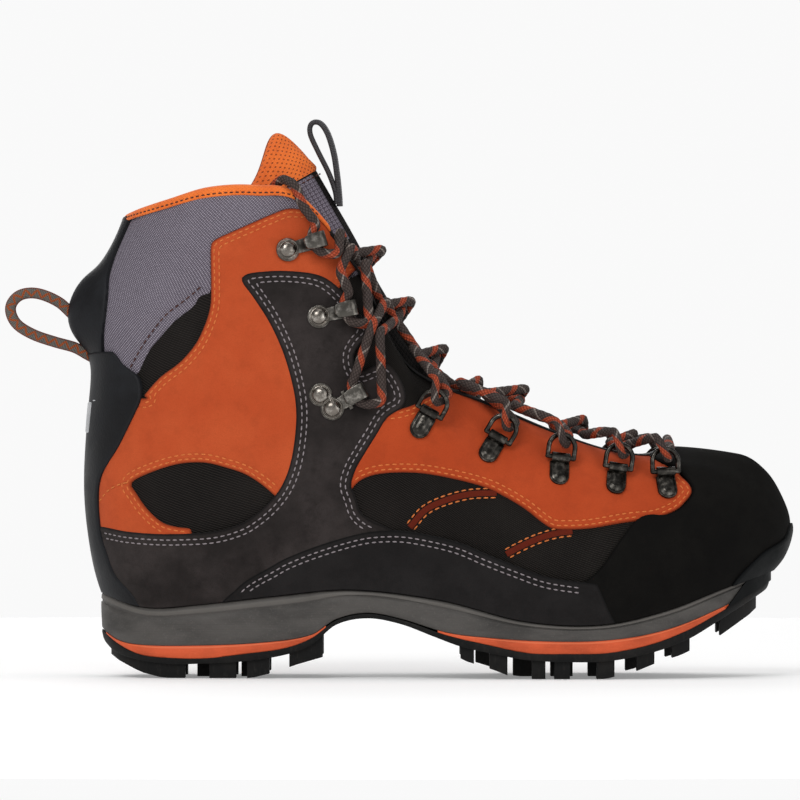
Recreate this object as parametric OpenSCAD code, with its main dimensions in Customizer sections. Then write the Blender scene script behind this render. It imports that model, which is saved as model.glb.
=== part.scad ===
// Right-foot mountaineering boot, millimetres.
// +X points to the toe, +Z is up, the lateral (outer) side faces -Y.
// The upper is one smooth surface that is read at a station u round the foot
// and a height s up the side. Every sewn layer is an offset of that surface.

/* [Upper layers] */
// Thickness of the inner lining
lining_t = 1.0; // [0.8:0.1:1.4]
// Thickness of the padding, heel counter and toe puff
padding_t = 3.5; // [3:0.1:4]
// Thickness of the black textile
textile_t = 1.0; // [0.8:0.1:1.2]
// Thickness of the nubuck and fabric panels
panel_t = 1.3; // [1.1:0.1:1.5]
// Gap between two panels that meet edge to edge
panel_gap = 0.1; // [0.05:0.05:0.3]
// Thickness of the rubber toe bumper
bumper_t = 2.2; // [1.8:0.1:2.6]

/* [Sole] */
// How far the midsole stands out past the upper
midsole_lip = 2.6; // [2:0.1:3.2]
// Thickness of the lasting board
board_t = 2.0; // [1.5:0.1:2.4]
// Thickness of the steel shank
shank_t = 1.2; // [1:0.1:1.4]
// Half width of the steel shank
shank_half_w = 9; // [7:0.5:12]
// Thickness of the footbed
footbed_t = 3.6; // [3:0.1:5]
// Width of the lugs along each side of the sole
side_lug_w = 17; // [14:0.5:20]
// Half width of the lugs along the middle of the sole
mid_lug_half_w = 9; // [7:0.5:11]

/* [Hardware] */
// Wire diameter of the D-rings
ring_wire_d = 2.2; // [2:0.1:2.4]
// Radius of a D-ring's round end, measured at the wire's centre
ring_bow_r = 6.0; // [5.8:0.1:6.4]
// Distance from a D-ring's bar to the centre of its round end
ring_arm = 4.4; // [4:0.1:5]
// Rise of a D-ring above the surface it lies on, in degrees
ring_rise = 28; // [25:1:32]
// Running clearance between a D-ring's bar and its clip
bar_clearance = 0.06; // [0.03:0.01:0.1]
// Width of a hook across the lace
hook_w = 7; // [6:0.5:8]
// Thickness of the sheet metal in clips and hooks
sheet_t = 1.2; // [1:0.1:1.4]
// Radius of a rivet head
rivet_r = 4.3; // [3.8:0.1:4.6]

/* [Lace] */
// Lace diameter
lace_d = 4.6; // [4.2:0.1:4.8]

/* [Tongue] */
// Thickness of the tongue's face cloth and of its lining
tongue_cloth_t = 1.0; // [0.8:0.1:1.2]
// Thickness of the tongue's foam
tongue_foam_t = 5.5; // [4.5:0.1:6.5]

/* [Hidden] */

// ---- the upper's surface ----
LATERAL = -1;
MEDIAL = 1;
LAST_U = 12;                       // u is 0 at the heel and 12 at the toe
U_STEP = 0.5;                      // grid step round the foot
S_STEPS = 12;                      // grid steps up the side
TOE_SLIT = 0.15;                   // half gap where the two sides meet over the toe

// Four rails at u = 0, 1 ... 12, each point [x, half width, z], from the sole edge to the top.
FOOT_RAIL = [[-131, 0], [-126, 17], [-113, 29], [-90, 34.5], [-55, 35.5], [-20, 37], [20, 43],
             [58, 49], [92, 50.5], [122, 46], [146, 34], [162, 17], [167, 0]];
LOWER_RAIL = [[-147, 0, 86], [-140, 21, 85], [-121, 36, 84], [-94, 46, 84], [-60, 48, 88],
              [-22, 48, 88], [22, 50, 82], [60, 54, 66], [97, 55, 60], [129, 51, 62],
              [156, 39, 68], [173, 21, 73], [179, 0, 74]];
UPPER_RAIL = [[-135, 0, 150], [-129, 18, 150], [-112, 31, 150], [-88, 40, 150], [-62, 42, 155],
              [-33, 41, 150], [-2, 40, 130], [36, 42, 106], [73, 41, 94], [110, 38, 93],
              [142, 33, 98], [162, 18, 99], [171, 0, 99]];
TOP_RAIL = [[-121, 0, 207], [-116, 17.5, 209], [-103, 29.5, 213], [-85, 37, 218], [-64, 38, 219],
            [-43, 33, 215], [-19, 28, 185], [2, 25, 142], [38, 22.5, 124], [82, 17, 105],
            [108, 11, 98.5], [124, 0, 102], [149, 0, 99]];

// Height of the sole edge along the foot, [x, z].
FOOT_PROFILE = [[-134, 39], [-113, 32], [-90, 33], [-55, 37], [-20, 40], [20, 35.5], [58, 26],
                [92, 24.5], [122, 31], [146, 40], [162, 46], [172, 50]];

// Depths of the layers below (-) and above (+) the textile's outer face.
D_TEXTILE = -textile_t;
D_PADDING = D_TEXTILE - padding_t;
D_LINING = D_PADDING - lining_t;
D_PANEL = panel_t;
D_BUMPER = panel_t + bumper_t;

function unit(v) = v / norm(v);
function mix(a, b, t) = a + (b - a) * t;
function spline(a, b, c, d, t) =
    0.5 * (2 * b + (c - a) * t + (2 * a - 5 * b + 4 * c - d) * t * t
           + (3 * b - a - 3 * c + d) * t * t * t);

// Smooth curve through [x, value] pairs, read at x.
function slope(pts, i) =
    let (a = max(i - 1, 0), b = min(i + 1, len(pts) - 1))
    (pts[b][1] - pts[a][1]) / (pts[b][0] - pts[a][0]);
function segment(pts, x, i = 0) =
    i >= len(pts) - 2 || x < pts[i + 1][0] ? i : segment(pts, x, i + 1);
function profile(pts, x) =
    let (xc = min(max(x, pts[0][0]), pts[len(pts) - 1][0]), i = segment(pts, xc),
         w = pts[i + 1][0] - pts[i][0], t = (xc - pts[i][0]) / w)
    (2 * t * t * t - 3 * t * t + 1) * pts[i][1] + (t * t * t - 2 * t * t + t) * w * slope(pts, i)
    + (3 * t * t - 2 * t * t * t) * pts[i + 1][1] + (t * t * t - t * t) * w * slope(pts, i + 1);

// A rail is mirrored past its two ends, so that heel and toe close smoothly.
function flip(p) = [for (i = [0 : len(p) - 1]) i == 1 ? -p[i] : p[i]];
function rail_at(rail, i) =
    i < 0 ? flip(rail[-i]) : i > LAST_U ? flip(rail[2 * LAST_U - i]) : rail[i];
function rail_point(rail, k) =
    let (i = min(floor(k), LAST_U - 1))
    spline(rail_at(rail, i - 1), rail_at(rail, i), rail_at(rail, i + 1), rail_at(rail, i + 2), k - i);

function foot_z(x) = profile(FOOT_PROFILE, x);
function foot_point(k) = let (p = rail_point(FOOT_RAIL, k)) [p.x, p.y, foot_z(p.x)];

// Sideways bend of the foot's centre line, and the pad over the Achilles tendon.
function centre_y(x) =
    -3 * exp(-pow((x - 5) / 55, 2)) + 6 * pow(min(max((x - 60) / 115, 0), 1.2), 1.5);
function achilles_pad(p) =
    p.x > -90 ? 0 : 9 * exp(-pow((p.z - 162) / 13, 2)) * exp(-pow(p.y / 22, 2));

function half_point(k, s) =
    let (p = pow(1 - s, 3) * foot_point(k) + 3 * pow(1 - s, 2) * s * rail_point(LOWER_RAIL, k)
             + 3 * (1 - s) * s * s * rail_point(UPPER_RAIL, k) + pow(s, 3) * rail_point(TOP_RAIL, k))
    [p.x - achilles_pad(p), max(p.y, 0), p.z];
function wrap_u(u) = u > LAST_U ? u - 2 * LAST_U : u < -LAST_U ? u + 2 * LAST_U : u;
function skin_base(u, s) =
    let (w = wrap_u(u), p = half_point(abs(w), s))
    [p.x, centre_y(p.x) + sign(w) * p.y, p.z];
function skin_normal(u, s) =
    let (e = 0.01, lo = max(s - e, 0), hi = min(s + e, 1), k = abs(wrap_u(u)),
         along = k < e ? [0, 1, 0] : k > LAST_U - e ? [0, -1, 0]
                 : skin_base(u + e, s) - skin_base(u - e, s),
         n = unit(cross(skin_base(u, hi) - skin_base(u, lo), along)))
    unit([n.x, n.y, n.z * min(1, s * 10)]);

// Point on the upper at station u, height s and depth d; the sides never cross the centre.
function skin(u, s, d) =
    let (p = skin_base(u, s) + d * skin_normal(u, s), side = sign(wrap_u(u)),
         on_end = abs(wrap_u(u)) < 0.001 || abs(wrap_u(u)) > LAST_U - 0.001)
    on_end ? p : [p.x, centre_y(p.x) + side * max(side * (p.y - centre_y(p.x)), TOE_SLIT), p.z];

// ---- solids made from grids ----
function quad(a, b, c, d) = [[a, b, c], [a, c, d]];

// A block between two grids of the same size: rows[i][j] is [inner point, outer point].
// Blocks that share a side of the grid split it into the same triangles.
module block(rows, closed) {
    nu = len(rows);
    ns = len(rows[0]);
    points = [for (row = rows) for (pair = row) each pair];
    function id(i, j, side) = ((i % nu) * ns + j) * 2 + side;
    last = closed ? nu - 1 : nu - 2;
    faces = [
        for (i = [0 : last]) each [
            for (j = [0 : ns - 2]) each [
                each quad(id(i, j, 1), id(i + 1, j, 1), id(i + 1, j + 1, 1), id(i, j + 1, 1)),
                each quad(id(i, j, 0), id(i, j + 1, 0), id(i + 1, j + 1, 0), id(i + 1, j, 0))],
            each quad(id(i + 1, 0, 0), id(i + 1, 0, 1), id(i, 0, 1), id(i, 0, 0)),
            each quad(id(i, ns - 1, 1), id(i + 1, ns - 1, 1), id(i + 1, ns - 1, 0), id(i, ns - 1, 0))],
        if (!closed) for (j = [0 : ns - 2]) each [
            each quad(id(0, j, 1), id(0, j + 1, 1), id(0, j + 1, 0), id(0, j, 0)),
            each quad(id(nu - 1, j, 1), id(nu - 1, j, 0), id(nu - 1, j + 1, 0), id(nu - 1, j + 1, 1))]];
    polyhedron(points, faces, convexity = 8);
}

// One layer of the upper, from station u0 to u1 and from grid height s0 to s1.
module layer(d0, d1, u0 = -LAST_U, u1 = LAST_U, s0 = 0, s1 = S_STEPS) {
    closed = u1 - u0 >= 2 * LAST_U;
    count = round((u1 - u0) / U_STEP) - (closed ? 1 : 0);
    block([for (i = [0 : count]) [for (j = [s0 : s1])
        [skin(u0 + i * U_STEP, j / S_STEPS, d0), skin(u0 + i * U_STEP, j / S_STEPS, d1)]]], closed);
}

// A solid with the same kind of cross-section at each station. Each loop runs anticlockwise
// when it is seen from behind, that is, looking along the way from first station to last.
module loft(sections) {
    n = len(sections[0]);
    last = len(sections) - 1;
    faces = [
        for (i = [0 : last - 1]) for (j = [0 : n - 1])
            each quad(i * n + j, (i + 1) * n + j, (i + 1) * n + (j + 1) % n, i * n + (j + 1) % n),
        [for (j = [0 : n - 1]) j],
        [for (j = [n - 1 : -1 : 0]) last * n + j]];
    polyhedron([for (section = sections) each section], faces, convexity = 8);
}

// ---- the sole ----
// Heights along the sole, [x, z], from the top of the inserts down to the ground.
MIDSOLE_BOTTOM = [[-136, 24], [-126, 17], [-115, 14.8], [-90, 14.6], [-60, 16], [-38, 19.5],
                  [-27, 26.6], [-13, 29.5], [2, 27], [23, 20.7], [41, 18.5], [65, 17], [89, 17],
                  [108, 19], [126, 23.4], [145, 31], [160, 38], [174, 46]];
INSERT_BOTTOM = [[-136, 23.6], [-126, 15.5], [-115, 10.4], [-100, 9], [-85, 9], [-69, 10.8],
                 [-50, 13.5], [-38, 18], [-27, 26], [-13, 29], [2, 26.5], [23, 19.5], [41, 15.3],
                 [59, 11.7], [77, 11.3], [95, 11.7], [114, 15.3], [131, 21.6], [145, 29],
                 [160, 37.5], [174, 45.5]];
TREAD_BASE = [[-136, 20], [-126, 11], [-105, 6.5], [-87, 6.5], [-69, 7.5], [-50, 10.5], [-38, 15],
              [-27, 24], [-13, 27], [2, 24.5], [17, 18.9], [29, 14.5], [41, 11.8], [59, 8.5],
              [77, 7.6], [95, 8], [114, 11.5], [131, 17.5], [145, 25.5], [160, 34.5], [174, 43]];
LUG_BOTTOM = [[-136, 18], [-128, 9], [-115, 2.5], [-105, 0], [-65, 0], [-55, 2.5], [-45, 6],
              [-33, 9.5], [22, 13], [31, 8], [44, 4], [54, 0], [94, 0], [108, 3.5], [118, 7.5],
              [128, 10.5], [146, 19], [161, 29], [174, 42]];
HEEL_LUGS = [[-129, -95], [-84, -72], [-67, -57], [-48, -33]];
FORE_LUGS = [[29, 35], [42, 50], [61, 67], [71, 78], [90, 98], [108, 116], [124, 132], [146, 163]];
MID_LUGS = [[-90, -78], [-70, -60], [36, 46], [53, 63], [70, 80], [87, 97], [104, 114], [122, 132]];
SOLE_STATIONS = [0.05, for (k = [0.25 : 0.25 : LAST_U - 0.25]) k, LAST_U - 0.05];

// Plan outline of the sole edge at station k, moved outwards by grow.
function plan_point(k, grow) =
    let (e = 0.02, a = rail_point(FOOT_RAIL, max(k - e, 0)), b = rail_point(FOOT_RAIL, min(k + e, LAST_U)),
         d = unit(b - a), p = rail_point(FOOT_RAIL, k))
    [p.x - d.y * grow, p.y + d.x * grow];

// One side of a cross-section: a level is [height at x, how far it stands out].
function sole_side(k, levels, side) =
    [for (level = levels) let (p = plan_point(k, level[1]))
        [p.x, centre_y(p.x) + side * max(p.y, 0.2), level[0](p.x)]];
function reversed(list) = [for (i = [len(list) - 1 : -1 : 0]) list[i]];
module sole_slab(stations, levels) {
    loft([for (k = stations)
        concat(sole_side(k, levels, MEDIAL), reversed(sole_side(k, levels, LATERAL)))]);
}
function stations_between(x0, x1) =
    [for (k = SOLE_STATIONS) if (rail_point(FOOT_RAIL, k).x > x0 && rail_point(FOOT_RAIL, k).x < x1) k];

// A lug from x0 to x1 whose sides lie at the distances y_low(x) and y_high(x) from the centre line.
LUG_OVERLAP = 0.8;                 // how far a lug reaches up into the tread's base
LUG_TAPER = 0.8;
function tread_z(x) = profile(TREAD_BASE, x);
module lug(x0, x1, y_low, y_high) {
    count = ceil((x1 - x0) / 12);
    loft([for (i = [0 : count])
        let (x = mix(x0, x1, i / count), cy = centre_y(x), z0 = lookup(x, LUG_BOTTOM),
             z1 = tread_z(x) + LUG_OVERLAP, hi = cy + y_high(x), lo = cy + y_low(x))
        [[x, hi - LUG_TAPER, z0], [x, hi, z1], [x, lo, z1], [x, lo + LUG_TAPER, z0]]]);
}
module side_lugs(span) {
    outer = function (x) profile(FOOT_RAIL, x) - 0.2;
    inner = function (x) max(outer(x) - side_lug_w, 1.5);
    lug(span[0], span[1], inner, outer);
    lug(span[0], span[1], function (x) -outer(x), function (x) -inner(x));
}

module outsole() {
    color("#151515") resize([0, 0, 0]) union() {
        sole_slab(SOLE_STATIONS, [[function (x) tread_z(x), 1.6],
                                  [function (x) profile(INSERT_BOTTOM, x), 2.4]]);
        for (span = concat(HEEL_LUGS, FORE_LUGS)) side_lugs(span);
        for (span = MID_LUGS)
            lug(span[0], span[1], function (x) -mid_lug_half_w, function (x) mid_lug_half_w);
    }
}

module midsole() {
    top = function (x) foot_z(x) - 0.3;
    bottom = function (x) profile(MIDSOLE_BOTTOM, x);
    middle = function (x) mix(bottom(x), top(x), 0.6);
    color("#5A5855")
        sole_slab(SOLE_STATIONS, [[bottom, 2.4], [middle, midsole_lip], [top, 1.4]]);
}

module sole_insert(x0, x1) {
    color("#C04E2C")
        sole_slab(stations_between(x0, x1), [[function (x) profile(INSERT_BOTTOM, x), 2.4],
                                             [function (x) profile(MIDSOLE_BOTTOM, x), 2.4]]);
}
module heel_insert() { sole_insert(-129, -30); }
module forefoot_insert() { sole_insert(18, 152); }

// Flat layers inside the shoe, above the sole edge.
BOARD_INSET = D_LINING - 0.6;
SHANK_Z = board_t + 0.4;
FOOTBED_Z = SHANK_Z + shank_t + 0.3;
module inner_slab(z0, z1, inset) {
    sole_slab([for (k = SOLE_STATIONS) if (k > 0.2 && k < LAST_U - 0.2) k],
              [[function (x) foot_z(x) + z0, inset], [function (x) foot_z(x) + z1, inset]]);
}
module lasting_board() { color("#8A7B63") inner_slab(0.2, board_t + 0.2, BOARD_INSET); }
module footbed() { color("#3C3C40") inner_slab(FOOTBED_Z, FOOTBED_Z + footbed_t, BOARD_INSET - 1.2); }
module shank() {
    color("silver") loft([for (x = [-70 : 10 : 60])
        let (cy = centre_y(x), z0 = foot_z(x) + SHANK_Z, z1 = z0 + shank_t)
        [[x, cy + shank_half_w, z0], [x, cy + shank_half_w, z1],
         [x, cy - shank_half_w, z1], [x, cy - shank_half_w, z0]]]);
}

// ---- sewn layers ----
HEEL_END = 3.5;                    // stations where the padding changes from one piece to the next
COLLAR_END = 6;
PUFF_START = 9.5;
COLLAR_LOW = 7;                    // grid height where the collar padding starts
FOAM_TOP = 12;
module lining() { color("#E8692E") layer(D_LINING, D_PADDING); }
module heel_counter() { color("#C9BFA8") layer(D_PADDING, D_TEXTILE, -HEEL_END, HEEL_END, 0, COLLAR_LOW); }
module collar_foam() {
    color("#D9C27A") layer(D_PADDING, D_TEXTILE, -COLLAR_END, COLLAR_END, COLLAR_LOW, FOAM_TOP);
}
module quarter_foam() {
    color("#D9C27A") for (side = [LATERAL, MEDIAL]) {
        start = side * HEEL_END;
        end = side * PUFF_START;
        layer(D_PADDING, D_TEXTILE, min(start, end), max(start, end), 0, COLLAR_LOW);
        layer(D_PADDING, D_TEXTILE, min(side * COLLAR_END, end), max(side * COLLAR_END, end),
              COLLAR_LOW, FOAM_TOP);
    }
}
module toe_puff() {
    color("#C9BFA8") layer(D_PADDING, D_TEXTILE, PUFF_START, 2 * LAST_U - PUFF_START);
}
module textile_upper() { color("#15120F") layer(D_TEXTILE, 0); }

// ---- outer panels, drawn in side view as [x, z] outlines ----
HEEL_STRAP = [[-170, 147], [-128, 147], [-117, 136], [-114, 126], [-123, 106], [-131, 92],
              [-133, 78], [-131, 62], [-126, 48], [-116, 32], [-116, 10], [-170, 10]];
BACK_STRAP = [[-170, 230], [-112, 225], [-117, 207], [-126, 193], [-132, 178], [-135, 160],
              [-133, 140], [-170, 140]];
TOE_CAP = [[83, 44], [110, 73], [127, 76], [133, 84], [127, 91], [116, 99], [112, 120], [200, 120],
           [200, 10], [90, 10], [86, 30]];
SIDE_RAND = [[-70, 44], [-50, 53], [-25, 63], [2, 66], [29, 61], [56, 50], [83, 44], [86, 30],
             [90, 10], [-70, 10]];
WING = [[-68, 180], [-63, 182], [-49, 183], [-35, 181], [-26, 175], [-10, 160], [-18, 149],
        [-16, 137], [-4, 140], [0, 131], [-3, 122], [-14, 101], [-20, 87], [-18, 78], [-5, 69],
        [2, 66], [2, 30], [-150, 10], [-150, 68], [-121, 66], [-97, 67], [-71, 69], [-58, 77],
        [-49, 93], [-45, 112], [-46, 132], [-53, 153], [-68, 174]];
EYESTAY = [[-20, 87], [-14, 101], [-3, 122], [-4, 140], [8, 160], [40, 140], [110, 112], [127, 91],
           [133, 84], [127, 76], [110, 72], [87, 68], [68, 68], [49, 81], [22, 90], [-7, 92]];
REAR_QUARTER = [[-83, 170], [-83, 194], [-66, 204], [-49, 211], [-36, 212], [-20, 212], [-20, 176],
                [-26, 175], [-40, 130], [-55, 82], [-68, 92], [-86, 97], [-109, 93], [-120, 86],
                [-112, 74], [-98, 67], [-97, 60], [-150, 60], [-150, 126], [-114, 126],
                [-97, 143], [-87, 157]];
COLLAR_FABRIC = [[-83, 170], [-100, 160], [-116, 137], [-150, 137], [-150, 240], [-10, 240],
                 [-10, 190]];
REFLECTOR = [[-160, 110], [-136, 110], [-136, 124], [-160, 124]];
BUMPER = [[177, 73], [171, 64], [155, 49], [151, 45], [160, 49.5], [172, 55], [200, 62], [200, 73]];

// The panel's own outline, less the outlines of the panels that lie over it.
module panel(outline, over = [], d1 = D_PANEL, d0 = 0) {
    depth = 200;
    resize([0, 0, 0]) intersection() {
        layer(d0, d1);
        rotate([90, 0, 0]) linear_extrude(height = depth, center = true) difference() {
            polygon(outline);
            for (other = over) offset(delta = panel_gap) polygon(other);
        }
    }
}
module heel_strap() { color("#1B1B1E") panel(HEEL_STRAP, [REFLECTOR]); }
module heel_reflector() { color("#B9BABC") panel(REFLECTOR); }
module back_strap() { color("#1B1B1E") panel(BACK_STRAP, [HEEL_STRAP]); }
module toe_cap() { color("#14130F") panel(TOE_CAP); }
module toe_bumper() { color("#15191A") panel(BUMPER, [], D_BUMPER, D_PANEL); }
module side_rands() { color("#333334") panel(SIDE_RAND, [TOE_CAP]); }
module wing_panels() { color("#3A3536") panel(WING, [SIDE_RAND, HEEL_STRAP]); }
module eyestays() { color("#A5401F") panel(EYESTAY, [TOE_CAP, WING, SIDE_RAND]); }
module rear_quarters() { color("#B24A28") panel(REAR_QUARTER, [WING, HEEL_STRAP, BACK_STRAP]); }
module collar_fabric() {
    color("#7B7480") panel(COLLAR_FABRIC, [REAR_QUARTER, WING, HEEL_STRAP, BACK_STRAP]);
}

BINDING_END = 6;
BINDING_RISE = 3.4;
BINDING_SEAT = 0.3;                // the binding stands this far off the layers' edges
module collar_binding() {
    color("#E8742F") loft([for (i = [-BINDING_END / U_STEP : BINDING_END / U_STEP])
        let (u = i * U_STEP, up = unit(skin_base(u, 1) - skin_base(u, 0.98)),
             a = skin(u, 1, D_PANEL) + BINDING_SEAT * up,
             b = skin(u, 1, D_LINING) + BINDING_SEAT * up)
        [a, b, b + up * BINDING_RISE * 0.6, mix(a, b, 0.5) + up * BINDING_RISE,
         a + up * BINDING_RISE * 0.6]]);
}

// ---- swept tubes ----
function path_direction(pts, i) = unit(pts[min(i + 1, len(pts) - 1)] - pts[max(i - 1, 0)]);
function across(v, d) = unit(v - (v * d) * d);
function path_sides(pts, start) =
    [for (i = 0, v = across(start, path_direction(pts, 0)); i < len(pts);
          i = i + 1, v = i < len(pts) ? across(v, path_direction(pts, i)) : v) v];
// A tube of oval section: a is its half size along the carried side, b across it.
module tube(pts, a, b, sides, start) {
    v = path_sides(pts, start);
    loft([for (i = [0 : len(pts) - 1])
        let (d = path_direction(pts, i), w = cross(d, v[i]))
        [for (j = [0 : sides - 1])
            pts[i] + a * cos(360 * j / sides) * v[i] + b * sin(360 * j / sides) * w]]);
}
function smooth_path(pts, steps) =
    [for (i = [0 : len(pts) - 2]) for (j = [0 : steps - 1])
        spline(pts[max(i - 1, 0)], pts[i], pts[i + 1], pts[min(i + 2, len(pts) - 1)], j / steps),
     pts[len(pts) - 1]];

// ---- pull loop at the heel ----
HEEL_LOOP_ROUTE = [[-144, 162], [-153, 169.5], [-163, 173.5], [-171, 172.5], [-175, 167],
                   [-172.5, 160], [-165, 155], [-155, 151.5], [-146, 149], [-140.5, 146]];
module heel_loop() {
    route = [for (p = HEEL_LOOP_ROUTE) [p.x, 0, p.y]];
    color("#6B6660") tube(smooth_path(route, 2), 2.5, 2.0, 10, [0, 0, 1]);
}

// ---- tongue ----
// Stations up the tongue: [x, z, half width, drop of the edges below the crown].
TONGUE = [[118, 92.5, 8, 2], [110, 94.5, 11, 3], [96, 98, 15, 6], [80, 103.5, 20, 10],
          [57, 113, 25, 14], [38, 123.5, 27, 17], [21, 136.5, 29, 21], [7, 154.5, 30, 27],
          [-7, 176.5, 30, 33], [-18, 197.5, 28, 37], [-28, 215, 26, 38], [-39, 234, 24, 37]];
TONGUE_TOP = len(TONGUE) - 1;
function tongue_row(t) =
    let (i = min(max(floor(t), 0), TONGUE_TOP - 1))
    spline(TONGUE[max(i - 1, 0)], TONGUE[i], TONGUE[i + 1], TONGUE[min(i + 2, TONGUE_TOP)], t - i);
function tongue_up(t) =
    let (a = tongue_row(max(t - 0.1, 0)), b = tongue_row(min(t + 0.1, TONGUE_TOP)))
    unit([b[0] - a[0], 0, b[1] - a[1]]);
function tongue_base(t, v) =
    let (r = tongue_row(t), up = tongue_up(t), out = [up.z, 0, -up.x])
    [r[0], centre_y(r[0]) + v * r[2], r[1]] - out * r[3] * pow(abs(v), 1.7);
function tongue_point(t, v, d) =
    let (e = 0.02, t0 = max(t - e, 0), t1 = min(t + e, TONGUE_TOP),
         over = tongue_base(t, v + e) - tongue_base(t, v - e), along = tongue_base(t1, v) - tongue_base(t0, v),
         n = unit(cross(over, along)))
    tongue_base(t, v) - d * n * sign(n * [-1, 0, -1]);
T_STEP = 1;
V_STEPS = 6;
module tongue_layer(d0, d1, t0 = 0, t1 = TONGUE_TOP) {
    block([for (t = [t0 : T_STEP : t1]) [for (j = [-V_STEPS : V_STEPS])
        [tongue_point(t, j / V_STEPS, d0), tongue_point(t, j / V_STEPS, d1)]]], false);
}
D_FACE = -tongue_cloth_t;
D_FOAM = D_FACE - tongue_foam_t;
D_TONGUE_LINING = D_FOAM - tongue_cloth_t;
module tongue_face() { color("#3B3A3F") tongue_layer(D_FACE, 0); }
module tongue_foam() { color("#D9C27A") tongue_layer(D_FOAM, D_FACE); }
module tongue_lining() { color("#E8692E") tongue_layer(D_TONGUE_LINING, D_FOAM); }

TONGUE_LOOP_ROUTE = [[-27.5, 219.5], [-30.5, 228], [-35.5, 238], [-39, 246], [-38.3, 250.6],
                     [-34.5, 250.8], [-31, 246], [-28.2, 237], [-26.8, 228], [-25.8, 218.5]];
module tongue_loop() {
    route = [for (p = TONGUE_LOOP_ROUTE) [p.x, centre_y(p.x), p.y]];
    color("#4A4A4C") tube(smooth_path(route, 2), 0.9, 5, 8, [1, 0, 0]);
}

// ---- lace hardware ----
// Each site is a station on the upper, [u, s], and the step in u and s towards the lace.
RINGS = [[6.2, 0.57, 0.28, 0.10], [7.3, 0.68, 0.34, 0.10], [8.1, 0.66, 0.22, 0.11],
         [8.75, 0.65, 0.17, 0.09], [9.4, 0.62, 0.11, 0.07]];
TOP_HOOK = [4.6, 0.865, 0.47, 0.04];
ANKLE_HOOK = [5.0, 0.725, 0.40, 0.05];
LOCK_HOOK = [5.0, 0.50, 0.37, 0.06];

// Frame of a piece of hardware: [origin, along the edge, towards the lace, outwards].
function site_frame(site, side) =
    let (u = side * site[0], o = skin(u, site[1], D_PANEL), n = skin_normal(u, site[1]),
         q = skin(u + side * site[2], site[1] + site[3], D_PANEL) - o, e2 = across(q, n))
    [o, cross(e2, n), e2, n];
function in_frame(f, p) = f[0] + p.x * f[1] + p.y * f[2] + p.z * f[3];
module place(f) {
    multmatrix([[f[1].x, f[2].x, f[3].x, f[0].x], [f[1].y, f[2].y, f[3].y, f[0].y],
                [f[1].z, f[2].z, f[3].z, f[0].z], [0, 0, 0, 1]]) children();
}

BAR_Y = 7.0;                       // where a D-ring's bar lies in its frame
BAR_Z = 2.9;
CLIP_R = 2.1;
CLIP_W = 8;
WIRE_R = ring_wire_d / 2;
SEAT = 0.25;                       // clips and hooks stand this far off the curved panel

module ring_clip() {
    difference() {
        union() {
            translate([0, -1.5, SEAT]) cylinder(r = CLIP_W / 2, h = sheet_t, $fn = 40);
            translate([-CLIP_W / 2, -1.5, SEAT]) cube([CLIP_W, 5.5, sheet_t]);
            translate([-CLIP_W / 2, BAR_Y, BAR_Z]) rotate([0, 90, 0])
                cylinder(r = CLIP_R, h = CLIP_W, $fn = 40);
            translate([-CLIP_W / 2, BAR_Y - 4, SEAT]) cube([CLIP_W, 3.4, 2.4]);
        }
        translate([-CLIP_W, BAR_Y, BAR_Z]) rotate([0, 90, 0])
            cylinder(r = WIRE_R + bar_clearance, h = 2 * CLIP_W, $fn = 40);
    }
}
module ring_clips() {
    color("#2B2A28") for (side = [LATERAL, MEDIAL], site = RINGS)
        place(site_frame(site, side)) ring_clip();
}

// The D-ring's bar lies along X at the origin, and its round end is on +Y.
module d_ring_shape() {
    corner_r = WIRE_R + 0.04;
    translate([-ring_bow_r, 0, 0]) rotate([0, 90, 0]) cylinder(r = WIRE_R, h = 2 * ring_bow_r, $fn = 32);
    for (x = [-ring_bow_r, ring_bow_r]) {
        translate([x, 0, 0]) sphere(r = corner_r, $fn = 24);
        translate([x, 0, 0]) rotate([-90, 0, 0]) cylinder(r = WIRE_R, h = ring_arm, $fn = 32);
    }
    translate([0, ring_arm, 0]) rotate_extrude(angle = 180, $fn = 48)
        translate([ring_bow_r, 0]) circle(r = WIRE_R, $fn = 32);
}
module d_ring(index, side) {
    color("#2B2A28") place(site_frame(RINGS[index - 1], side))
        translate([0, BAR_Y, BAR_Z]) rotate([ring_rise, 0, 0]) d_ring_shape();
}

HOOK_TIP = 17.4;                   // far end of a hook from its rivet
HOOK_GAP = 5.9;                    // free height inside a hook
HOOK_LIP = 10.5;                   // length of a hook's lip
module hook_profile() {
    top = HOOK_GAP + 2 * sheet_t;
    difference() {
        union() {
            square([HOOK_TIP - 3, sheet_t]);
            hull() {
                translate([HOOK_TIP - 3, 3]) circle(r = 3, $fn = 32);
                translate([HOOK_TIP - 3, top - 3]) circle(r = 3, $fn = 32);
                translate([HOOK_TIP - HOOK_LIP, 0]) square([1, top]);
            }
        }
        hull() {
            translate([HOOK_TIP - 3, sheet_t + 1.8]) circle(r = 1.8, $fn = 32);
            translate([HOOK_TIP - 3, top - sheet_t - 1.8]) circle(r = 1.8, $fn = 32);
            translate([HOOK_TIP - HOOK_LIP - 1, sheet_t]) square([1, HOOK_GAP]);
        }
    }
}
module open_hook() {
    translate([0, 0, SEAT]) {
        cylinder(r = rivet_r + 1, h = sheet_t, $fn = 40);
        translate([-hook_w / 2, 0, 0]) rotate([90, 0, 90]) linear_extrude(height = hook_w) hook_profile();
    }
}
LOCK_RIVET = [8, -1.5];            // second rivet of the lock hook
module lock_hook(side) {
    x = LOCK_RIVET.x * side;
    open_hook();
    translate([0, 0, SEAT]) {
        translate([x, LOCK_RIVET.y, 0]) cylinder(r = rivet_r + 1, h = sheet_t, $fn = 40);
        translate([-hook_w / 2 - 1, 6.8, 0]) cube([hook_w + 2, 1.6, sheet_t + 1.4]);
    }
}
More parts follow.
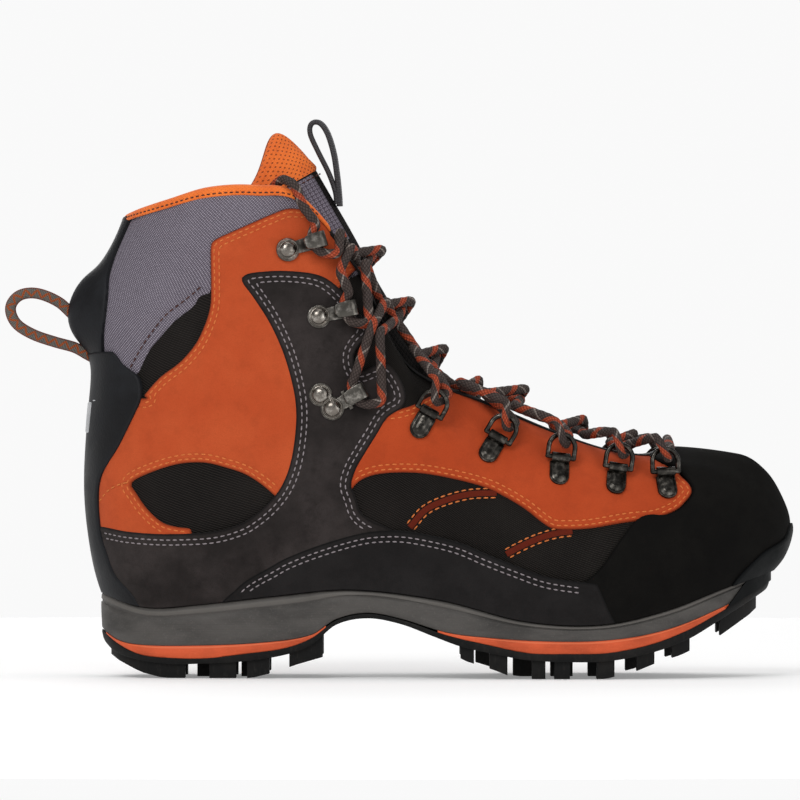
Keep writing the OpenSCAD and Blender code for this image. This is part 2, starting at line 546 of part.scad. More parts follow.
module hooks(site) {
    color("#6E6A66") for (side = [LATERAL, MEDIAL]) place(site_frame(site, side)) open_hook();
}
module top_hooks() { hooks(TOP_HOOK); }
module ankle_hooks() { hooks(ANKLE_HOOK); }
module lock_hooks() {
    color("#6E6A66") for (side = [LATERAL, MEDIAL])
        place(site_frame(LOCK_HOOK, side)) lock_hook(side);
}
module rivet() {
    dome_h = 2.2;
    dome_r = (rivet_r * rivet_r + dome_h * dome_h) / (2 * dome_h);
    translate([0, 0, SEAT + sheet_t]) intersection() {
        cylinder(r = rivet_r, h = dome_h, $fn = 40);
        translate([0, 0, dome_h - dome_r]) sphere(r = dome_r, $fn = 64);
    }
}
module hook_rivets() {
    color("#8B8883") for (side = [LATERAL, MEDIAL]) {
        place(site_frame(TOP_HOOK, side)) rivet();
        place(site_frame(ANKLE_HOOK, side)) rivet();
        place(site_frame(LOCK_HOOK, side)) {
            rivet();
            translate([LOCK_RIVET.x * side, LOCK_RIVET.y, 0]) rivet();
        }
    }
}

// ---- lace ----
LACE_R = lace_d / 2;
LACE_TURN = 5.0;                   // radius of the lace's turn round a D-ring's wire
LOW_LACE = LACE_R + 1.7;           // height of the lower strand over the tongue
HIGH_LACE = LOW_LACE + lace_d + 0.4;
OVER_PANEL = D_PANEL + LACE_R + 1.7;
// The lace's stops from the toe to the collar, and the tongue station of each crossing between them.
SITES = [RINGS[4], RINGS[3], RINGS[2], RINGS[1], RINGS[0], LOCK_HOOK, ANKLE_HOOK, TOP_HOOK];
CROSSINGS = [1.3, 2.9, 4.1, 5.3, 6.4, 7.5, 8.6];
NARROW = 3;                        // crossings below this one span the throat in one go
// Stations of the throat's edge where each crossing leaves one side and meets the other.
LEAVES = [9.75, 9.05, 8.3, 7.7, 6.95, 6.4, 5.8];
MEETS = [9.45, 8.75, 8.0, 7.4, 6.6, 6.0, 5.6];
EDGE_LIFT = [0, 0, 0, 1.8, 3.5, 2.2, 1.5];
HOOK_LIFT = [6.4, 2.2];            // extra height over the panel beside the two lower hooks
HOOK_STOP = [8.5, 21, 4.2];        // where the lace comes up to a hook, in the hook's frame

// Just past the upper's top edge: a point at depth d, raised along the surface.
function over_edge(u, d, rise) = skin(u, 1, d) + rise * unit(skin_base(u, 1) - skin_base(u, 0.98));

// The lace comes under a D-ring's round end, up through it and back over it.
function ring_pass(site, side) =
    let (f = site_frame(site, side), toe = f[1].x > 0 ? 1 : -1,
         reach = ring_arm + ring_bow_r,
         by = BAR_Y + reach * cos(ring_rise), bz = BAR_Z + reach * sin(ring_rise))
    [for (q = [[4.2, 4, -108], [2.4, 0, -125], [0.8, 0, -165], [-0.8, 0, 150], [-2.4, 0, 110], [-4.2, 3, 85]])
        in_frame(f, [q[0] * toe, by + q[1] + LACE_TURN * cos(q[2]), bz + LACE_TURN * sin(q[2])])];
// The lace goes round a hook's neck, inside its lip.
function hook_turn(site, side) =
    let (f = site_frame(site, side), toe = f[1].x > 0 ? 1 : -1, z = SEAT + sheet_t + HOOK_GAP / 2)
    [for (q = [[7, 15.5], [4.6, 12.2], [0, 11.4], [-4.6, 12.2], [-7, 15.5]])
        in_frame(f, [q[0] * toe, q[1], z])];
// Halfway between a hook and the throat's edge, over the panel.
function beside_hook(i, side, edge_u) =
    let (site = SITES[i], w = 0.55)
    skin(side * mix(site[0], edge_u, w), mix(site[1], 1, w), OVER_PANEL + HOOK_LIFT[i - len(RINGS)]);
function hook_pass(i, side) =
    let (f = site_frame(SITES[i], side), toe = f[1].x > 0 ? 1 : -1)
    concat(SITES[i] == LOCK_HOOK ? [beside_hook(i, side, MEETS[i - 1])] : [],
           [in_frame(f, [HOOK_STOP.x * toe, HOOK_STOP.y, HOOK_STOP.z])], hook_turn(SITES[i], side),
           i < len(SITES) - 1 ? [beside_hook(i, side, LEAVES[i])] : []);
// Over the tongue from one side to the other.
function crossing(i, side, high) =
    let (t = CROSSINGS[i], a = over_edge(side * LEAVES[i], OVER_PANEL + EDGE_LIFT[i], 0),
         b = over_edge(-side * MEETS[i], OVER_PANEL + EDGE_LIFT[i], 0),
         c = tongue_point(t, 0, high ? HIGH_LACE : LOW_LACE),
         level = (a.z + b.z) / 2 + (high ? HIGH_LACE - LOW_LACE : 0))
    i < NARROW ? [a, [c.x, c.y, max(c.z, level)], b]
    : [a, tongue_point(t - 0.2, side * 0.45, LOW_LACE + 1.2), c,
       tongue_point(t + 0.2, -side * 0.45, LOW_LACE + 1.2), b];
// Half the lace, from the middle of the toe bar up to its tucked end.
function strand(start) =
    [for (i = [0 : len(SITES) - 1]) let (side = i % 2 == 0 ? start : -start)
        each concat(i < len(RINGS) ? ring_pass(SITES[i], side) : hook_pass(i, side),
                    i < len(SITES) - 1 ? crossing(i, side, (i % 2 == 0) == (start > 0)) : [])];
// Over the collar's edge and down inside it.
function tucked_end(side) =
    concat([skin(side * 4.95, 0.975, OVER_PANEL + 1), over_edge(side * 4.85, OVER_PANEL - 0.5, 4.2),
            over_edge(side * 4.7, -2, 6.8), over_edge(side * 4.55, -8.6, 4)],
           [for (q = [[4.35, 0.95, -9.3], [4.1, 0.86, -9.6], [3.9, 0.77, -9.8], [3.75, 0.7, -9.8]])
               skin(side * q[0], q[1], q[2])]);
function half_lace(start) = concat(strand(start), tucked_end(-start));
TOE_BAR = [[123, 0, 107.5]];
LACE_ROUTE = concat(reversed(half_lace(LATERAL)), TOE_BAR, half_lace(MEDIAL));
module lace() { color("#3A322E") tube(LACE_ROUTE, LACE_R, LACE_R, 8, [0, 0, 1]); }
module lace_tips() {
    color("#2A2422") for (side = [LATERAL, MEDIAL]) {
        end = tucked_end(side);
        a = end[len(end) - 1];
        d = unit(a - end[len(end) - 2]);
        tube([a + 0.05 * d, a + 16 * d], LACE_R * 0.7, LACE_R * 0.7, 8, [0, 1, 0]);
    }
}

outsole();
midsole();
heel_insert();
forefoot_insert();
shank();
lasting_board();
footbed();
lining();
collar_foam();
quarter_foam();
heel_counter();
toe_puff();
textile_upper();
collar_fabric();
rear_quarters();
eyestays();
wing_panels();
side_rands();
toe_cap();
back_strap();
heel_strap();
heel_reflector();
toe_bumper();
collar_binding();
heel_loop();
tongue_face();
tongue_foam();
tongue_lining();
tongue_loop();
ring_clips();
d_ring(1, LATERAL);  // d_ring_1_lateral
d_ring(2, LATERAL);  // d_ring_2_lateral
d_ring(3, LATERAL);  // d_ring_3_lateral
d_ring(4, LATERAL);  // d_ring_4_lateral
d_ring(5, LATERAL);  // d_ring_5_lateral
d_ring(1, MEDIAL);  // d_ring_1_medial
d_ring(2, MEDIAL);  // d_ring_2_medial
d_ring(3, MEDIAL);  // d_ring_3_medial
d_ring(4, MEDIAL);  // d_ring_4_medial
d_ring(5, MEDIAL);  // d_ring_5_medial
top_hooks();
ankle_hooks();
lock_hooks();
hook_rivets();
lace();
lace_tips();
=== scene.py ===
"""Looks of a right-foot mountaineering boot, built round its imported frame.

The upper is one smooth surface read at a station u round the foot and a height s up the side.
Lengths are millimetres until a mesh is made. +X points to the toe and -Y is the lateral side.
"""

import math

import bmesh
import bpy
import numpy as np
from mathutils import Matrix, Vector


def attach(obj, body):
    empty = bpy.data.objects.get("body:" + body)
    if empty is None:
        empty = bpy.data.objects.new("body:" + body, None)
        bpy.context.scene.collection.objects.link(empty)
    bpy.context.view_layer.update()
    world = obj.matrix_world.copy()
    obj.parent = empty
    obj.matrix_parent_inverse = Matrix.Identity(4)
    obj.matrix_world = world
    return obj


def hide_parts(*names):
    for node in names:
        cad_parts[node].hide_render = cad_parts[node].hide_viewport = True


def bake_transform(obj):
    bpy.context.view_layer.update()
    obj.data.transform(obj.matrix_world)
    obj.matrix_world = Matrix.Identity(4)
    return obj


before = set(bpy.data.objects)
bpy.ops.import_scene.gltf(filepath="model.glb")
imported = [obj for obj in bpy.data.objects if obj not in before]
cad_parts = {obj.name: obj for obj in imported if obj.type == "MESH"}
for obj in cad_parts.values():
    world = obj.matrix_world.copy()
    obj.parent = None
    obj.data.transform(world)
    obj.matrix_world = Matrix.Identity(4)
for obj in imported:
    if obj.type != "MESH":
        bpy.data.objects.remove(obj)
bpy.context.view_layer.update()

MM = 0.001
LATERAL, MEDIAL = -1, 1


# ---- camera ----
VIEW_WIDTH = 360.0                 # width of the picture at the boot's lateral side
VIEW_CENTRE = (1.8, -34.0, 125.1)
VIEW_DISTANCE = 4000.0
SENSOR = 36.0


def make_camera():
    data = bpy.data.cameras.new("camera")
    data.sensor_width = SENSOR
    data.lens = SENSOR * VIEW_DISTANCE / VIEW_WIDTH
    data.clip_end = 50.0
    camera = bpy.data.objects.new("camera", data)
    x, y, z = VIEW_CENTRE
    camera.location = (x * MM, (y - VIEW_DISTANCE) * MM, z * MM)
    camera.rotation_euler = (math.radians(90), 0, 0)
    bpy.context.scene.collection.objects.link(camera)
    bpy.context.scene.camera = camera


make_camera()


# ---- the upper's surface ----
LAST_U = 12.0
FOOT_RAIL = [[-131, 0], [-126, 17], [-113, 29], [-90, 34.5], [-55, 35.5], [-20, 37], [20, 43],
             [58, 49], [92, 50.5], [122, 46], [146, 34], [162, 17], [167, 0]]
LOWER_RAIL = [[-147, 0, 86], [-140, 21, 85], [-121, 36, 84], [-94, 46, 84], [-60, 48, 88],
              [-22, 48, 88], [22, 50, 82], [60, 54, 66], [97, 55, 60], [129, 51, 62],
              [156, 39, 68], [173, 21, 73], [179, 0, 74]]
UPPER_RAIL = [[-135, 0, 150], [-129, 18, 150], [-112, 31, 150], [-88, 40, 150], [-62, 42, 155],
              [-33, 41, 150], [-2, 40, 130], [36, 42, 106], [73, 41, 94], [110, 38, 93],
              [142, 33, 98], [162, 18, 99], [171, 0, 99]]
TOP_RAIL = [[-121, 0, 207], [-116, 17.5, 209], [-103, 29.5, 213], [-85, 37, 218], [-64, 38, 219],
            [-43, 33, 215], [-19, 28, 185], [2, 25, 142], [38, 22.5, 124], [82, 17, 105],
            [108, 11, 98.5], [124, 0, 102], [149, 0, 99]]
FOOT_PROFILE = [[-134, 39], [-113, 32], [-90, 33], [-55, 37], [-20, 40], [20, 35.5], [58, 26],
                [92, 24.5], [122, 31], [146, 40], [162, 46], [172, 50]]


def spline(a, b, c, d, t):
    return 0.5 * (2 * b + (c - a) * t + (2 * a - 5 * b + 4 * c - d) * t ** 2
                  + (3 * b - a - 3 * c + d) * t ** 3)


def profile(points, x):
    """Smooth curve through [x, value] pairs, read at x."""
    p = np.asarray(points, float)
    x = np.clip(x, p[0, 0], p[-1, 0])
    slope = np.empty(len(p))
    slope[1:-1] = (p[2:, 1] - p[:-2, 1]) / (p[2:, 0] - p[:-2, 0])
    slope[0] = (p[1, 1] - p[0, 1]) / (p[1, 0] - p[0, 0])
    slope[-1] = (p[-1, 1] - p[-2, 1]) / (p[-1, 0] - p[-2, 0])
    i = np.clip(np.searchsorted(p[:, 0], x, side="right") - 1, 0, len(p) - 2)
    w = p[i + 1, 0] - p[i, 0]
    t = (x - p[i, 0]) / w
    return ((2 * t ** 3 - 3 * t ** 2 + 1) * p[i, 1] + (t ** 3 - 2 * t ** 2 + t) * w * slope[i]
            + (3 * t ** 2 - 2 * t ** 3) * p[i + 1, 1] + (t ** 3 - t ** 2) * w * slope[i + 1])


def rail_point(rail, k):
    """Point of a rail at station k. The rail is mirrored past its two ends."""
    p = np.asarray(rail, float)
    mirror = np.ones(p.shape[1])
    mirror[1] = -1
    p = np.vstack([p[1] * mirror, p, p[-2] * mirror])
    k = np.asarray(k, float)
    i = np.clip(np.floor(k).astype(int), 0, int(LAST_U) - 1)
    return spline(p[i], p[i + 1], p[i + 2], p[i + 3], (k - i)[..., None])


def foot_z(x):
    return profile(FOOT_PROFILE, x)


def centre_y(x):
    """Sideways bend of the foot's centre line."""
    x = np.asarray(x, float)
    return -3 * np.exp(-((x - 5) / 55) ** 2) + 6 * np.clip((x - 60) / 115, 0, 1.2) ** 1.5


def half_point(k, s):
    foot = rail_point(FOOT_RAIL, k)
    foot = np.concatenate([foot, foot_z(foot[..., 0])[..., None]], axis=-1)
    s = np.asarray(s, float)[..., None]
    p = ((1 - s) ** 3 * foot + 3 * (1 - s) ** 2 * s * rail_point(LOWER_RAIL, k)
         + 3 * (1 - s) * s ** 2 * rail_point(UPPER_RAIL, k) + s ** 3 * rail_point(TOP_RAIL, k))
    pad = 9 * np.exp(-((p[..., 2] - 162) / 13) ** 2) * np.exp(-(p[..., 1] / 22) ** 2)
    p[..., 0] -= np.where(p[..., 0] > -90, 0, pad)
    p[..., 1] = np.maximum(p[..., 1], 0)
    return p


def skin_base(u, s):
    w = np.where(u > LAST_U, u - 2 * LAST_U, np.where(u < -LAST_U, u + 2 * LAST_U, u))
    p = half_point(np.abs(w), s)
    p[..., 1] = centre_y(p[..., 0]) + np.sign(w) * p[..., 1]
    return p


def unit(v):
    return v / np.maximum(np.linalg.norm(v, axis=-1, keepdims=True), 1e-9)


def skin_normal(u, s):
    u, s = np.broadcast_arrays(np.asarray(u, float), np.asarray(s, float))
    e = 0.01
    up = skin_base(u, np.minimum(s + e, 1)) - skin_base(u, np.maximum(s - e, 0))
    along = skin_base(u + e, s) - skin_base(u - e, s)
    k = np.abs(u)[..., None]
    along = np.where(k < e, [0, 1, 0], np.where(k > LAST_U - e, [0, -1, 0], along))
    n = unit(np.cross(up, along))
    n[..., 2] *= np.minimum(1, s * 10)
    return unit(n)


def ripple(u, s):
    """Slight unevenness of the sewn upper. Its waves close over the toe."""
    turn = math.pi * u / LAST_U
    return 0.22 * np.sin(8 * turn + 9 * s) + 0.16 * np.sin(20 * turn - 17 * s + 1.3) * np.sin(7 * s)


def skin(u, s, d):
    """Point on the upper at station u, height s and distance d outside the textile's face."""
    u, s, d = np.broadcast_arrays(np.asarray(u, float), np.asarray(s, float), np.asarray(d, float))
    p = skin_base(u, s) + (d + ripple(u, s))[..., None] * skin_normal(u, s)
    cy = centre_y(p[..., 0])
    side = np.sign(u)
    p[..., 1] = np.where(side == 0, p[..., 1], cy + side * np.maximum(side * (p[..., 1] - cy), 0))
    return p


# ---- meshes and pieces ----
def mesh_object(name, points, faces, material, smooth_angle=50, cloth=None, bevel=0.0):
    """A mesh from points in millimetres. cloth holds a pattern coordinate for each point."""
    mesh = bpy.data.meshes.new(name)
    mesh.from_pydata((np.asarray(points) * MM).tolist(), [], [list(f) for f in faces])
    mesh.materials.append(material)
    if cloth is not None:
        layer = mesh.attributes.new("cloth", "FLOAT_VECTOR", "POINT")
        layer.data.foreach_set("vector", np.asarray(cloth, np.float32).ravel())
    mesh.polygons.foreach_set("use_smooth", [True] * len(mesh.polygons))
    bm = bmesh.new()
    bm.from_mesh(mesh)
    bmesh.ops.remove_doubles(bm, verts=bm.verts, dist=2e-6)
    bmesh.ops.dissolve_degenerate(bm, dist=1e-7, edges=bm.edges)
    bmesh.ops.recalc_face_normals(bm, faces=bm.faces)
    if bevel:
        sharp = [e for e in bm.edges if len(e.link_faces) == 2 and e.calc_face_angle() > 0.6]
        bmesh.ops.bevel(bm, geom=sharp, offset=bevel * MM, segments=2, profile=0.6, affect="EDGES",
                        clamp_overlap=True)
    bm.to_mesh(mesh)
    bm.free()
    mesh.set_sharp_from_angle(angle=math.radians(smooth_angle))
    obj = bpy.data.objects.new(name, mesh)
    bpy.context.scene.collection.objects.link(obj)
    return obj


def place_piece(obj, body, slot, *nodes):
    """The piece moves with a body and stands for the nodes given; slot is not used."""
    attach(obj, body)
    if nodes:
        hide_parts(*nodes)
    return obj


def grid_faces(rows, columns, closed=False):
    """Quads of a grid of points stored row by row; closed joins the last column to the first."""
    i, j = np.meshgrid(np.arange(rows - 1), np.arange(columns if closed else columns - 1), indexing="ij")
    a = i * columns + j
    b = i * columns + (j + 1) % columns
    return np.stack([a, b, b + columns, a + columns], -1).reshape(-1, 4)


def shell(rows, columns, outer, inner, closed=False):
    """Points and faces of a closed solid between two grids of the same size."""
    count = rows * columns
    top = grid_faces(rows, columns, closed)
    edges = []
    last = (rows - 1) * columns
    ring = np.arange(columns if closed else columns - 1)
    edges += [[j, (j + 1) % columns] for j in ring]
    edges += [[last + (j + 1) % columns, last + j] for j in ring]
    if not closed:
        edges += [[(i + 1) * columns, i * columns] for i in range(rows - 1)]
        edges += [[i * columns + columns - 1, (i + 1) * columns + columns - 1] for i in range(rows - 1)]
    walls = [[b, a, a + count, b + count] for a, b in edges]
    points = np.vstack([np.reshape(outer, (-1, 3)), np.reshape(inner, (-1, 3))])
    return points, top.tolist() + (top[:, ::-1] + count).tolist() + walls


# ---- dense grid over the upper ----
U_COUNT = 480
S_COUNT = 124
GRID_U = np.linspace(-LAST_U, LAST_U, U_COUNT + 1)
GRID_S = np.linspace(0, 1, S_COUNT + 1)
UU, SS = np.meshgrid(GRID_U, GRID_S, indexing="ij")
GRID_P = skin_base(UU, SS)
ARC_U = np.zeros_like(UU)
ARC_U[1:] = np.cumsum(np.linalg.norm(np.diff(GRID_P, axis=0), axis=-1), axis=0)
ARC_U -= ARC_U[U_COUNT // 2]
ARC_S = np.zeros_like(UU)
ARC_S[:, 1:] = np.cumsum(np.linalg.norm(np.diff(GRID_P, axis=1), axis=-1), axis=1)


def read_grid(values, u, s):
    """Value of a grid at any u and s, between its points."""
    x = np.clip((np.asarray(u) + LAST_U) / (2 * LAST_U) * U_COUNT, 0, U_COUNT - 1e-6)
    y = np.clip(np.asarray(s) * S_COUNT, 0, S_COUNT - 1e-6)
    i, j = x.astype(int), y.astype(int)
    fx, fy = x - i, y - j
    return ((values[i, j] * (1 - fx) + values[i + 1, j] * fx) * (1 - fy)
            + (values[i, j + 1] * (1 - fx) + values[i + 1, j + 1] * fx) * fy)


def cloth_coords(u, s, inset):
    return np.stack([read_grid(ARC_U, u, s), read_grid(ARC_S, u, s), inset], -1)


# ---- panel outlines in side view, [x, z] ----
def smooth_closed(points, steps=6):
    p = np.asarray(points, float)
    a, b, c, d = np.roll(p, 1, 0), p, np.roll(p, -1, 0), np.roll(p, -2, 0)
    t = (np.arange(steps) / steps)[None, :, None]
    return spline(a[:, None], b[:, None], c[:, None], d[:, None], t).reshape(-1, 2)


def smooth_open(points, steps=8):
    p = np.asarray(points, float)
    q = np.vstack([2 * p[0] - p[1], p, 2 * p[-1] - p[-2]])
    t = (np.arange(steps) / steps)[None, :, None]
    body = spline(q[:-3, None], q[1:-2, None], q[2:-1, None], q[3:, None], t)
    return np.vstack([body.reshape(-1, p.shape[1]), p[-1:]])


def line_distance(points, outline):
    """Distance from each [x, z] point to a closed outline."""
    best = np.full(len(points), np.inf)
    for start, end in zip(outline, np.roll(outline, -1, 0)):
        ab = end - start
        length = ab @ ab
        if length < 1e-12:
            continue
        t = np.clip((points - start) @ ab / length, 0, 1)
        best = np.minimum(best, np.linalg.norm(points - start - t[:, None] * ab, axis=1))
    return best


def inside(points, outline):
    result = np.zeros(len(points), bool)
    for (x0, z0), (x1, z1) in zip(outline, np.roll(outline, -1, 0)):
        crosses = (z0 > points[:, 1]) != (z1 > points[:, 1])
        if crosses.any():
            at = x0 + (points[:, 1] - z0) * (x1 - x0) / ((z1 - z0) or 1e-12)
            result ^= crosses & (points[:, 0] < at)
    return result


class Region:
    """Part of the side view: inside one outline and outside some others."""

    def __init__(self, outline, holes=()):
        self.outline = smooth_closed(outline)
        self.holes = [smooth_closed(hole) for hole in holes]

    def field(self, x, z):
        """Signed distance to the region's edge, negative inside."""
        x, z = np.broadcast_arrays(x, z)
        flat = np.stack([x.ravel(), z.ravel()], -1)
        value = line_distance(flat, self.outline) * np.where(inside(flat, self.outline), -1, 1)
        for hole in self.holes:
            cut = line_distance(flat, hole) * np.where(inside(flat, hole), 1, -1)
            value = np.maximum(value, cut)
        return value.reshape(x.shape)


# A doubled point is a corner.
WING = Region([[-69, 178], [-68, 181], [-62, 182.5], [-49, 183], [-35, 181], [-26, 175], [-18, 165],
               [-12, 156], [-17, 149], [-19, 144], [-17, 138], [-10, 140], [-4, 141], [1, 135],
               [4, 128], [3, 122], [-4, 117], [-9, 109], [-14, 101], [-18, 94], [-20, 87],
               [-18, 81], [-16, 75], [-11, 71], [-4, 68], [8, 60], [12, 40], [12, 10],
               [-60, 0], [-160, 0], [-160, 66], [-140, 68], [-132, 68], [-121, 66], [-109, 65],
               [-97, 65], [-82, 66], [-71, 69], [-64, 73], [-57, 79], [-51, 87], [-47, 98],
               [-45, 112], [-45, 123], [-47, 134], [-51, 147], [-57, 160], [-64, 171]])
OVAL = [[-119, 88], [-109, 93], [-97, 96.5], [-86, 97], [-77, 95], [-68, 92], [-60, 87], [-52, 80],
        [-52, 80], [-50, 70], [-70, 58], [-90, 62], [-92, 67], [-98, 68], [-105, 70], [-112, 76],
        [-117, 83]]
QUARTER_EDGE = [[-83, 170], [-83, 182], [-83, 194], [-81, 197], [-75, 200], [-66, 204], [-57, 208],
                  [-49, 211], [-42, 211], [-30, 213], [-14, 212], [-14, 190], [-22, 180], [-28, 170],
                  [-30, 150], [-30, 120], [-38, 90], [-48, 76], [-55, 60], [-100, 56], [-150, 56],
                  [-152, 90], [-152, 124], [-114, 126], [-114, 126], [-106, 135], [-97, 142],
                  [-90, 150], [-86, 158], [-84, 164]]
QUARTER = Region(QUARTER_EDGE, [OVAL])
THROAT = Region([[-30, 100], [-30, 110], [-20, 130], [-16, 146], [-6, 160], [10, 158], [32, 146],
                 [28, 132], [22, 125], [14, 122], [4, 117], [-8, 104]])
EYESTAY = Region([[-30, 80], [-30, 110], [-8, 119], [2, 121], [8, 123], [15, 126.5], [20, 129],
                  [22, 130.5], [22, 130.5], [26, 145], [26, 145], [40, 140], [70, 127], [100, 118],
                  [118, 105], [124, 96], [128, 91], [132, 87], [133, 83], [130, 79], [126, 75.5],
                  [118, 72], [112, 71], [106, 70.5], [99, 69.5], [87, 67.5], [76, 67], [70, 67.5],
                  [65, 70.5], [58, 76], [49, 81.5], [38, 86.5], [22, 90.5], [8, 92.5], [-7, 92],
                  [-16, 89], [-22, 83]])
RAND = Region([[-72, 40], [-66, 45], [-57, 50], [-50, 54], [-39, 58.5], [-25, 63], [-12, 66], [2, 66.5],
               [15, 64.5], [29, 61], [42, 55.5], [56, 50], [69, 45.5], [90, 42.5], [90, 42.5],
               [95, 31], [100, 20], [103, 5], [-80, 5], [-80, 30]])
TOE_CAP = Region([[84, 43], [84, 43], [92, 50], [99, 60], [107, 70], [113, 73], [121, 73], [128, 76],
                  [133, 82], [132, 87], [127, 92], [121, 95], [114, 99], [112, 106], [112, 125],
                  [200, 125], [200, 5], [93, 5], [92, 20], [87, 30]])
HEEL_STRAP = Region([[-175, 147], [-150, 147], [-129, 147], [-126, 146], [-122, 141], [-117, 137],
                     [-115, 135], [-114, 131], [-114, 127], [-115, 123], [-123, 106], [-129, 96],
                     [-132, 89], [-133, 80], [-132, 66], [-129, 56], [-125, 46], [-115, 33],
                     [-108, 5], [-175, 5]])
BACK_EDGE = [[-175, 235], [-112, 235], [-118, 209], [-118, 209], [-120.5, 202], [-123, 193],
             [-125, 184], [-127.5, 175], [-130, 165], [-131.5, 155], [-131.5, 146], [-131.5, 138],
             [-175, 138]]
BACK_STRAP = Region(BACK_EDGE)
COLLAR = Region([[-84, 173], [-91, 167], [-100, 160], [-107, 152], [-111, 147], [-116, 137],
                 [-116, 137], [-150, 130], [-160, 180], [-150, 245], [-60, 245], [0, 245], [0, 200],
                 [-20, 180], [-50, 175]],
                [QUARTER_EDGE, BACK_EDGE])
BUMPER = Region([[177, 74], [170, 63], [162, 56], [154.5, 48], [150, 42], [147, 35], [145.5, 26],
                 [145, 5], [205, 5], [205, 74]])
REFLECTOR = Region([[-160, 110], [-160, 110], [-136.4, 110], [-136.4, 110], [-135.2, 124], [-135.2, 124],
                    [-160, 124], [-160, 124]])


# ---- node materials ----
def srgb(code):
    values = [int(code[i:i + 2], 16) / 255 for i in (1, 3, 5)]
    return tuple(v / 12.92 if v <= 0.04045 else ((v + 0.055) / 1.055) ** 2.4 for v in values) + (1,)


class Shader:
    """A node material and the short calls that wire it."""

    def __init__(self, name, roughness=0.6, **constants):
        self.material = bpy.data.materials.new(name)
        self.material.use_nodes = True
        self.tree = self.material.node_tree
        self.tree.nodes.clear()
        self.bsdf = self.add("BsdfPrincipled")
        self.tree.links.new(self.bsdf.outputs[0], self.add("OutputMaterial").inputs[0])
        self.bsdf.inputs["Roughness"].default_value = roughness
        for label, value in constants.items():
            self.bsdf.inputs[label.replace("_", " ")].default_value = value
        self.place = self.add("TexCoord").outputs["Object"]
        self.cloth = self.add("Attribute", attribute_name="cloth").outputs["Vector"]

    def add(self, kind, **settings):
        node = self.tree.nodes.new("ShaderNode" + kind)
        for label, value in settings.items():
            setattr(node, label, value)
        return node

    def feed(self, socket, value):
        if isinstance(value, bpy.types.NodeSocket):
            self.tree.links.new(value, socket)
        else:
            socket.default_value = value

    def math(self, operation, *values):
        node = self.add("Math", operation=operation)
        for socket, value in zip(node.inputs, values):
            self.feed(socket, value)
        return node.outputs[0]

    def split(self, vector):
        node = self.add("SeparateXYZ")
        self.feed(node.inputs[0], vector)
        return node.outputs

    def noise(self, scale, detail=3.0, roughness=0.5, stretch=None):
        vector = self.place
        if stretch is not None:
            node = self.add("VectorMath", operation="MULTIPLY")
            self.feed(node.inputs[0], vector)
            node.inputs[1].default_value = stretch
            vector = node.outputs[0]
        node = self.add("TexNoise")
        self.feed(node.inputs["Vector"], vector)
        node.inputs["Scale"].default_value = scale
        node.inputs["Detail"].default_value = detail
        node.inputs["Roughness"].default_value = roughness
        return node.outputs[0]

    def cells(self, scale):
        node = self.add("TexVoronoi", feature="F1")
        self.feed(node.inputs["Vector"], self.place)
        node.inputs["Scale"].default_value = scale
        return node.outputs["Distance"]

    def ramp(self, value, low, high, to_low=0.0, to_high=1.0):
        node = self.add("MapRange", interpolation_type="SMOOTHSTEP")
        self.feed(node.inputs[0], value)
        for index, number in enumerate((low, high, to_low, to_high)):
            node.inputs[index + 1].default_value = number
        return node.outputs[0]

    def mix(self, factor, a, b):
        node = self.add("Mix", data_type="RGBA")
        self.feed(node.inputs[0], factor)
        self.feed(node.inputs[6], a)
        self.feed(node.inputs[7], b)
        return node.outputs[2]

    def colour(self, value):
        self.feed(self.bsdf.inputs["Base Color"], value)

    def roughness(self, value):
        self.feed(self.bsdf.inputs["Roughness"], value)

    def bump(self, height, distance, strength=1.0, under=None):
        node = self.add("Bump")
        node.inputs["Distance"].default_value = distance * MM
        node.inputs["Strength"].default_value = strength
        self.feed(node.inputs["Height"], height)
        if under is not None:
            self.feed(node.inputs["Normal"], under)
        self.feed(self.bsdf.inputs["Normal"], node.outputs[0])
        return node.outputs[0]

    def stripes(self, pitch, degrees, vector=None):
        """0 to 1 and back once for each pitch, across lines at an angle to the cloth's length."""
        x, y, _ = self.split(self.cloth if vector is None else vector)
        turn = math.radians(degrees)
        k = 2 * math.pi / pitch
        a = self.math("MULTIPLY", x, -math.sin(turn) * k)
        b = self.math("MULTIPLY_ADD", y, math.cos(turn) * k, a)
        return self.math("MULTIPLY_ADD", self.math("SINE", b), 0.5, 0.5)

    def dots(self, pitch, radius, soft):
        """1 in round dots set in staggered rows, and 0 between them."""
        x, y, _ = self.split(self.cloth)
        row = self.math("FLOOR", self.math("DIVIDE", y, pitch * 0.5))
        odd = self.math("MULTIPLY", self.math("FLOORED_MODULO", row, 2.0), pitch * 0.5)
        fx = self.math("FLOORED_MODULO", self.math("ADD", x, odd), pitch)
        fx = self.math("SUBTRACT", fx, pitch / 2)
        fy = self.math("SUBTRACT", self.math("FLOORED_MODULO", y, pitch * 0.5), pitch / 4)
        square = self.math("MULTIPLY_ADD", fx, fx, self.math("MULTIPLY", fy, fy))
        return self.ramp(self.math("SQRT", square), radius + soft, radius - soft)

    def scaled_place(self):
        """Object coordinates in millimetres, with height as the second value."""
        node = self.add("VectorMath", operation="MULTIPLY")
        self.feed(node.inputs[0], self.place)
        node.inputs[1].default_value = (1 / MM, 1 / MM, 1 / MM)
        x, y, z = self.split(node.outputs[0])
        join = self.add("CombineXYZ")
        self.feed(join.inputs[0], x)
        self.feed(join.inputs[1], z)
        self.feed(join.inputs[2], y)
        return join.outputs[0]


